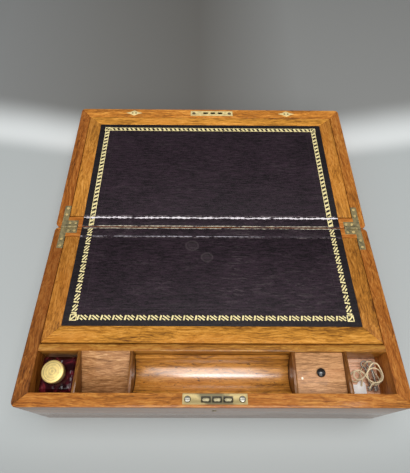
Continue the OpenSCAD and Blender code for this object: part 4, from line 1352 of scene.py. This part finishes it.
class InkwellOperator(bpy.types.Operator):
    """Model the glass inkwell and its turned brass cap"""

    bl_idname = "writing_case.inkwell"
    bl_label = "Inkwell"

    def execute(self, context):
        opts = options()
        glass = dark_glass("amethyst", opts)
        dress_solid(
            "inkwell_glass", "amethyst_glass", "inkwell", glass, "inkwell_glass", 0.0007, 3, 25, smooth=25
        )
        brass = old_brass("collar_brass", opts, 0.6)
        dress_solid("inkwell_collar", "collar", "inkwell", brass, "brass_fittings", 0.00015)
        foot, radius, tall = round_part(*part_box("inkwell_cap"))
        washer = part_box("cap_washer")
        hollow = washer[1].z - foot.z
        bore = (washer[1].x - washer[0].x) / 2 + 0.0004
        # The domed top: shares of the radius, and drops as shares of the edge's height
        edge = 0.0016
        dome = (
            (0.0, 0.0), (0.10, 0.0), (0.40, 0.044), (0.68, 0.132), (0.88, 0.242), (0.94, 0.352),
            (0.98, 0.528), (1.0, 0.792), (1.0, 1.0),
        )
        profile = [(radius * share, tall - edge * drop) for share, drop in dome]
        profile += [
            (radius, 0.0006), (radius - 0.0004, 0.0), (bore + 0.0002, 0.0), (bore, 0.0003),
            (bore, hollow), (0.0, hollow),
        ]
        cap = spun("brass_cap", [(x, 0, z) for x, z in profile], (0, 0, 1), 72)
        put(cap, Matrix.Translation(foot))
        dress(cap, "cap", self.cap_brass(opts, foot), "inkwell_cap", slot="brass_fittings", smooth=40)
        leather = plain_look("washer_leather", (0.22, 0.13, 0.07), (0.14, 0.08, 0.04), 300, 0.7)
        finish_nodes(leather, "cap_washer")
        return {"FINISHED"}

    def cap_brass(self, opts, middle):
        """Lathe-turned brass, its fine rings round the cap's middle."""
        look = Look("cap_brass", metallic=0.4)
        x, y, _ = look.parts()
        across, deep = x - middle.x, y - middle.y
        reach = (across * across + deep * deep) ** 0.5
        rings = look.noise(look.joined(reach * 720.0, 0.0, 0.0))
        cloud = look.noise(170, detail=4, rough=0.6)
        shade = rings.step(0.38, 0.58) * 0.65 + cloud.step(0.36, 0.60) * 0.35
        colour = look.mix(shade, darker(opts.brass, 0.55), (0.90, 0.67, 0.23))
        return look.finish(
            base_color=colour, roughness=0.26 + rings * 0.16, normal=look.bump(rings, 0.00010, 0.6)
        )


# Distance between the lock's hooks, and the width of their slots
HOOK_PITCH = 0.0112
SLOT_WIDTH = 0.0044


class FittingsOperator(bpy.types.Operator):
    """Finish the lock, the link plate, the diamond plates and the hinges"""

    bl_idname = "writing_case.fittings"
    bl_label = "Lock, plates and hinges"

    def execute(self, context):
        opts = options()
        patchy = old_brass("lock_plate_brass", opts, 0.9, age=0.54, spot=(0.004, 0.014), dark_rings=self.dark_rings)
        link = old_brass("link_plate_brass", opts, 0.35, age=0.1, pale=True)
        green = old_brass("hinge_brass", opts, 1.0, scratch="Y", age=0.78)
        bright = old_brass("bright_brass", opts, 0.15, pale=True)
        steel = dull_steel("screw_steel", (0.46, 0.44, 0.37))
        # The hooks' steel is darker than the screws' as painted shade, because they sit low in the plate's
        # slots
        hook_steel = dull_steel("hook_steel", (0.24, 0.21, 0.13))
        worn_green = old_brass("barrel_brass", opts, 0.5)
        dark = plain_look("dark_screw", (0.07, 0.05, 0.028), (0.20, 0.15, 0.08), 900, 0.4)
        # Each solid with its body, its metal and the rounding of its edges
        table = (
            ("lock_plate", "base", patchy, 0.00018),
            ("link_plate", "lid", link, 0.00018),
            ("diamond_plates", "lid", bright, 0.00018),
            ("lock_plate_screws", "base", steel, 0.00012),
            ("link_plate_screws", "lid", dark, 0.00012),
            ("diamond_screws", "lid", dark, 0.0001),
            ("base_hinge_leaves", "base", green, 0.00015),
            ("lid_hinge_leaves", "lid", green, 0.00015),
            ("base_hinge_screws", "base", worn_green, 0.0001),
            ("lid_hinge_screws", "lid", worn_green, 0.0001),
            ("hinge_pins", "base", bright, 0.0001),
            ("keyhole_escutcheon", "base", green, 0.00015),
            ("lock_hooks", "hooks", hook_steel, 0.0004),
        )
        for node, body, material, width in table:
            slot = "steel_parts" if material in (steel, hook_steel) else "brass_fittings"
            dress_solid(node, f"{node}_metal", body, material, slot, width, angle=50)
        finish_nodes(link, "lock_case", "lock_cam")
        return {"FINISHED"}

    def dark_rings(self, look, x, y):
        """Darker rings round the lock plate's screws, and painted shade in rings round its three slots."""
        screws_low, screws_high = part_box("lock_plate_screws")
        hooks_low, hooks_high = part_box("lock_hooks")
        middle = (screws_low.y + screws_high.y) / 2
        radius = (screws_high.y - screws_low.y) / 2
        hook_y = (hooks_low.y + hooks_high.y) / 2
        slot_half = (hooks_high.x - hooks_low.x) / 2 - HOOK_PITCH
        marks = []
        for side in (screws_low.x + radius, screws_high.x - radius):
            away = ((x - side) ** 2 + (y - middle) ** 2) ** 0.5
            marks.append(away.step(radius + 0.0008, radius + 0.0003))
        # Painted shade round each slot, where the hook sits low in it
        for i in (-1, 0, 1):
            at = (hooks_low.x + hooks_high.x) / 2 + i * HOOK_PITCH
            across = (abs(x - at) - slot_half).most(0.0)
            depth = (abs(y - hook_y) - SLOT_WIDTH / 2).most(0.0)
            away = (across**2 + depth**2) ** 0.5
            marks.append(away.step(0.0013, 0.0006))
        dark_mask = marks.pop()
        for mark in marks:
            dark_mask = dark_mask.most(mark)
        return dark_mask * 0.9


STEPS = (
    StageOperator,
    KeysOperator,
    BoardsOperator,
    FlapsOperator,
    LeatherOperator,
    GiltOperator,
    PensOperator,
    InkwellOperator,
    FittingsOperator,
)


class CasePanel(bpy.types.Panel):
    """Buttons that dress the writing case, and its colours"""

    bl_idname = "WRITING_CASE_PT_panel"
    bl_label = "Writing case"
    bl_space_type = "VIEW_3D"
    bl_region_type = "UI"
    bl_category = "Writing case"

    def draw(self, context):
        for step in STEPS:
            self.layout.operator(step.bl_idname)
        for name in CaseLook.__annotations__:
            self.layout.prop(context.scene.writing_case, name)


def register():
    for cls in (CaseLook, *STEPS, CasePanel):
        bpy.utils.register_class(cls)
    bpy.types.Scene.writing_case = PointerProperty(type=CaseLook)


def unregister():
    del bpy.types.Scene.writing_case
    for cls in reversed((CaseLook, *STEPS, CasePanel)):
        bpy.utils.unregister_class(cls)


def main():
    register()
    for step in STEPS:
        group, name = step.bl_idname.split(".")
        getattr(getattr(bpy.ops, group), name)()


if __name__ == "__main__":
    main()
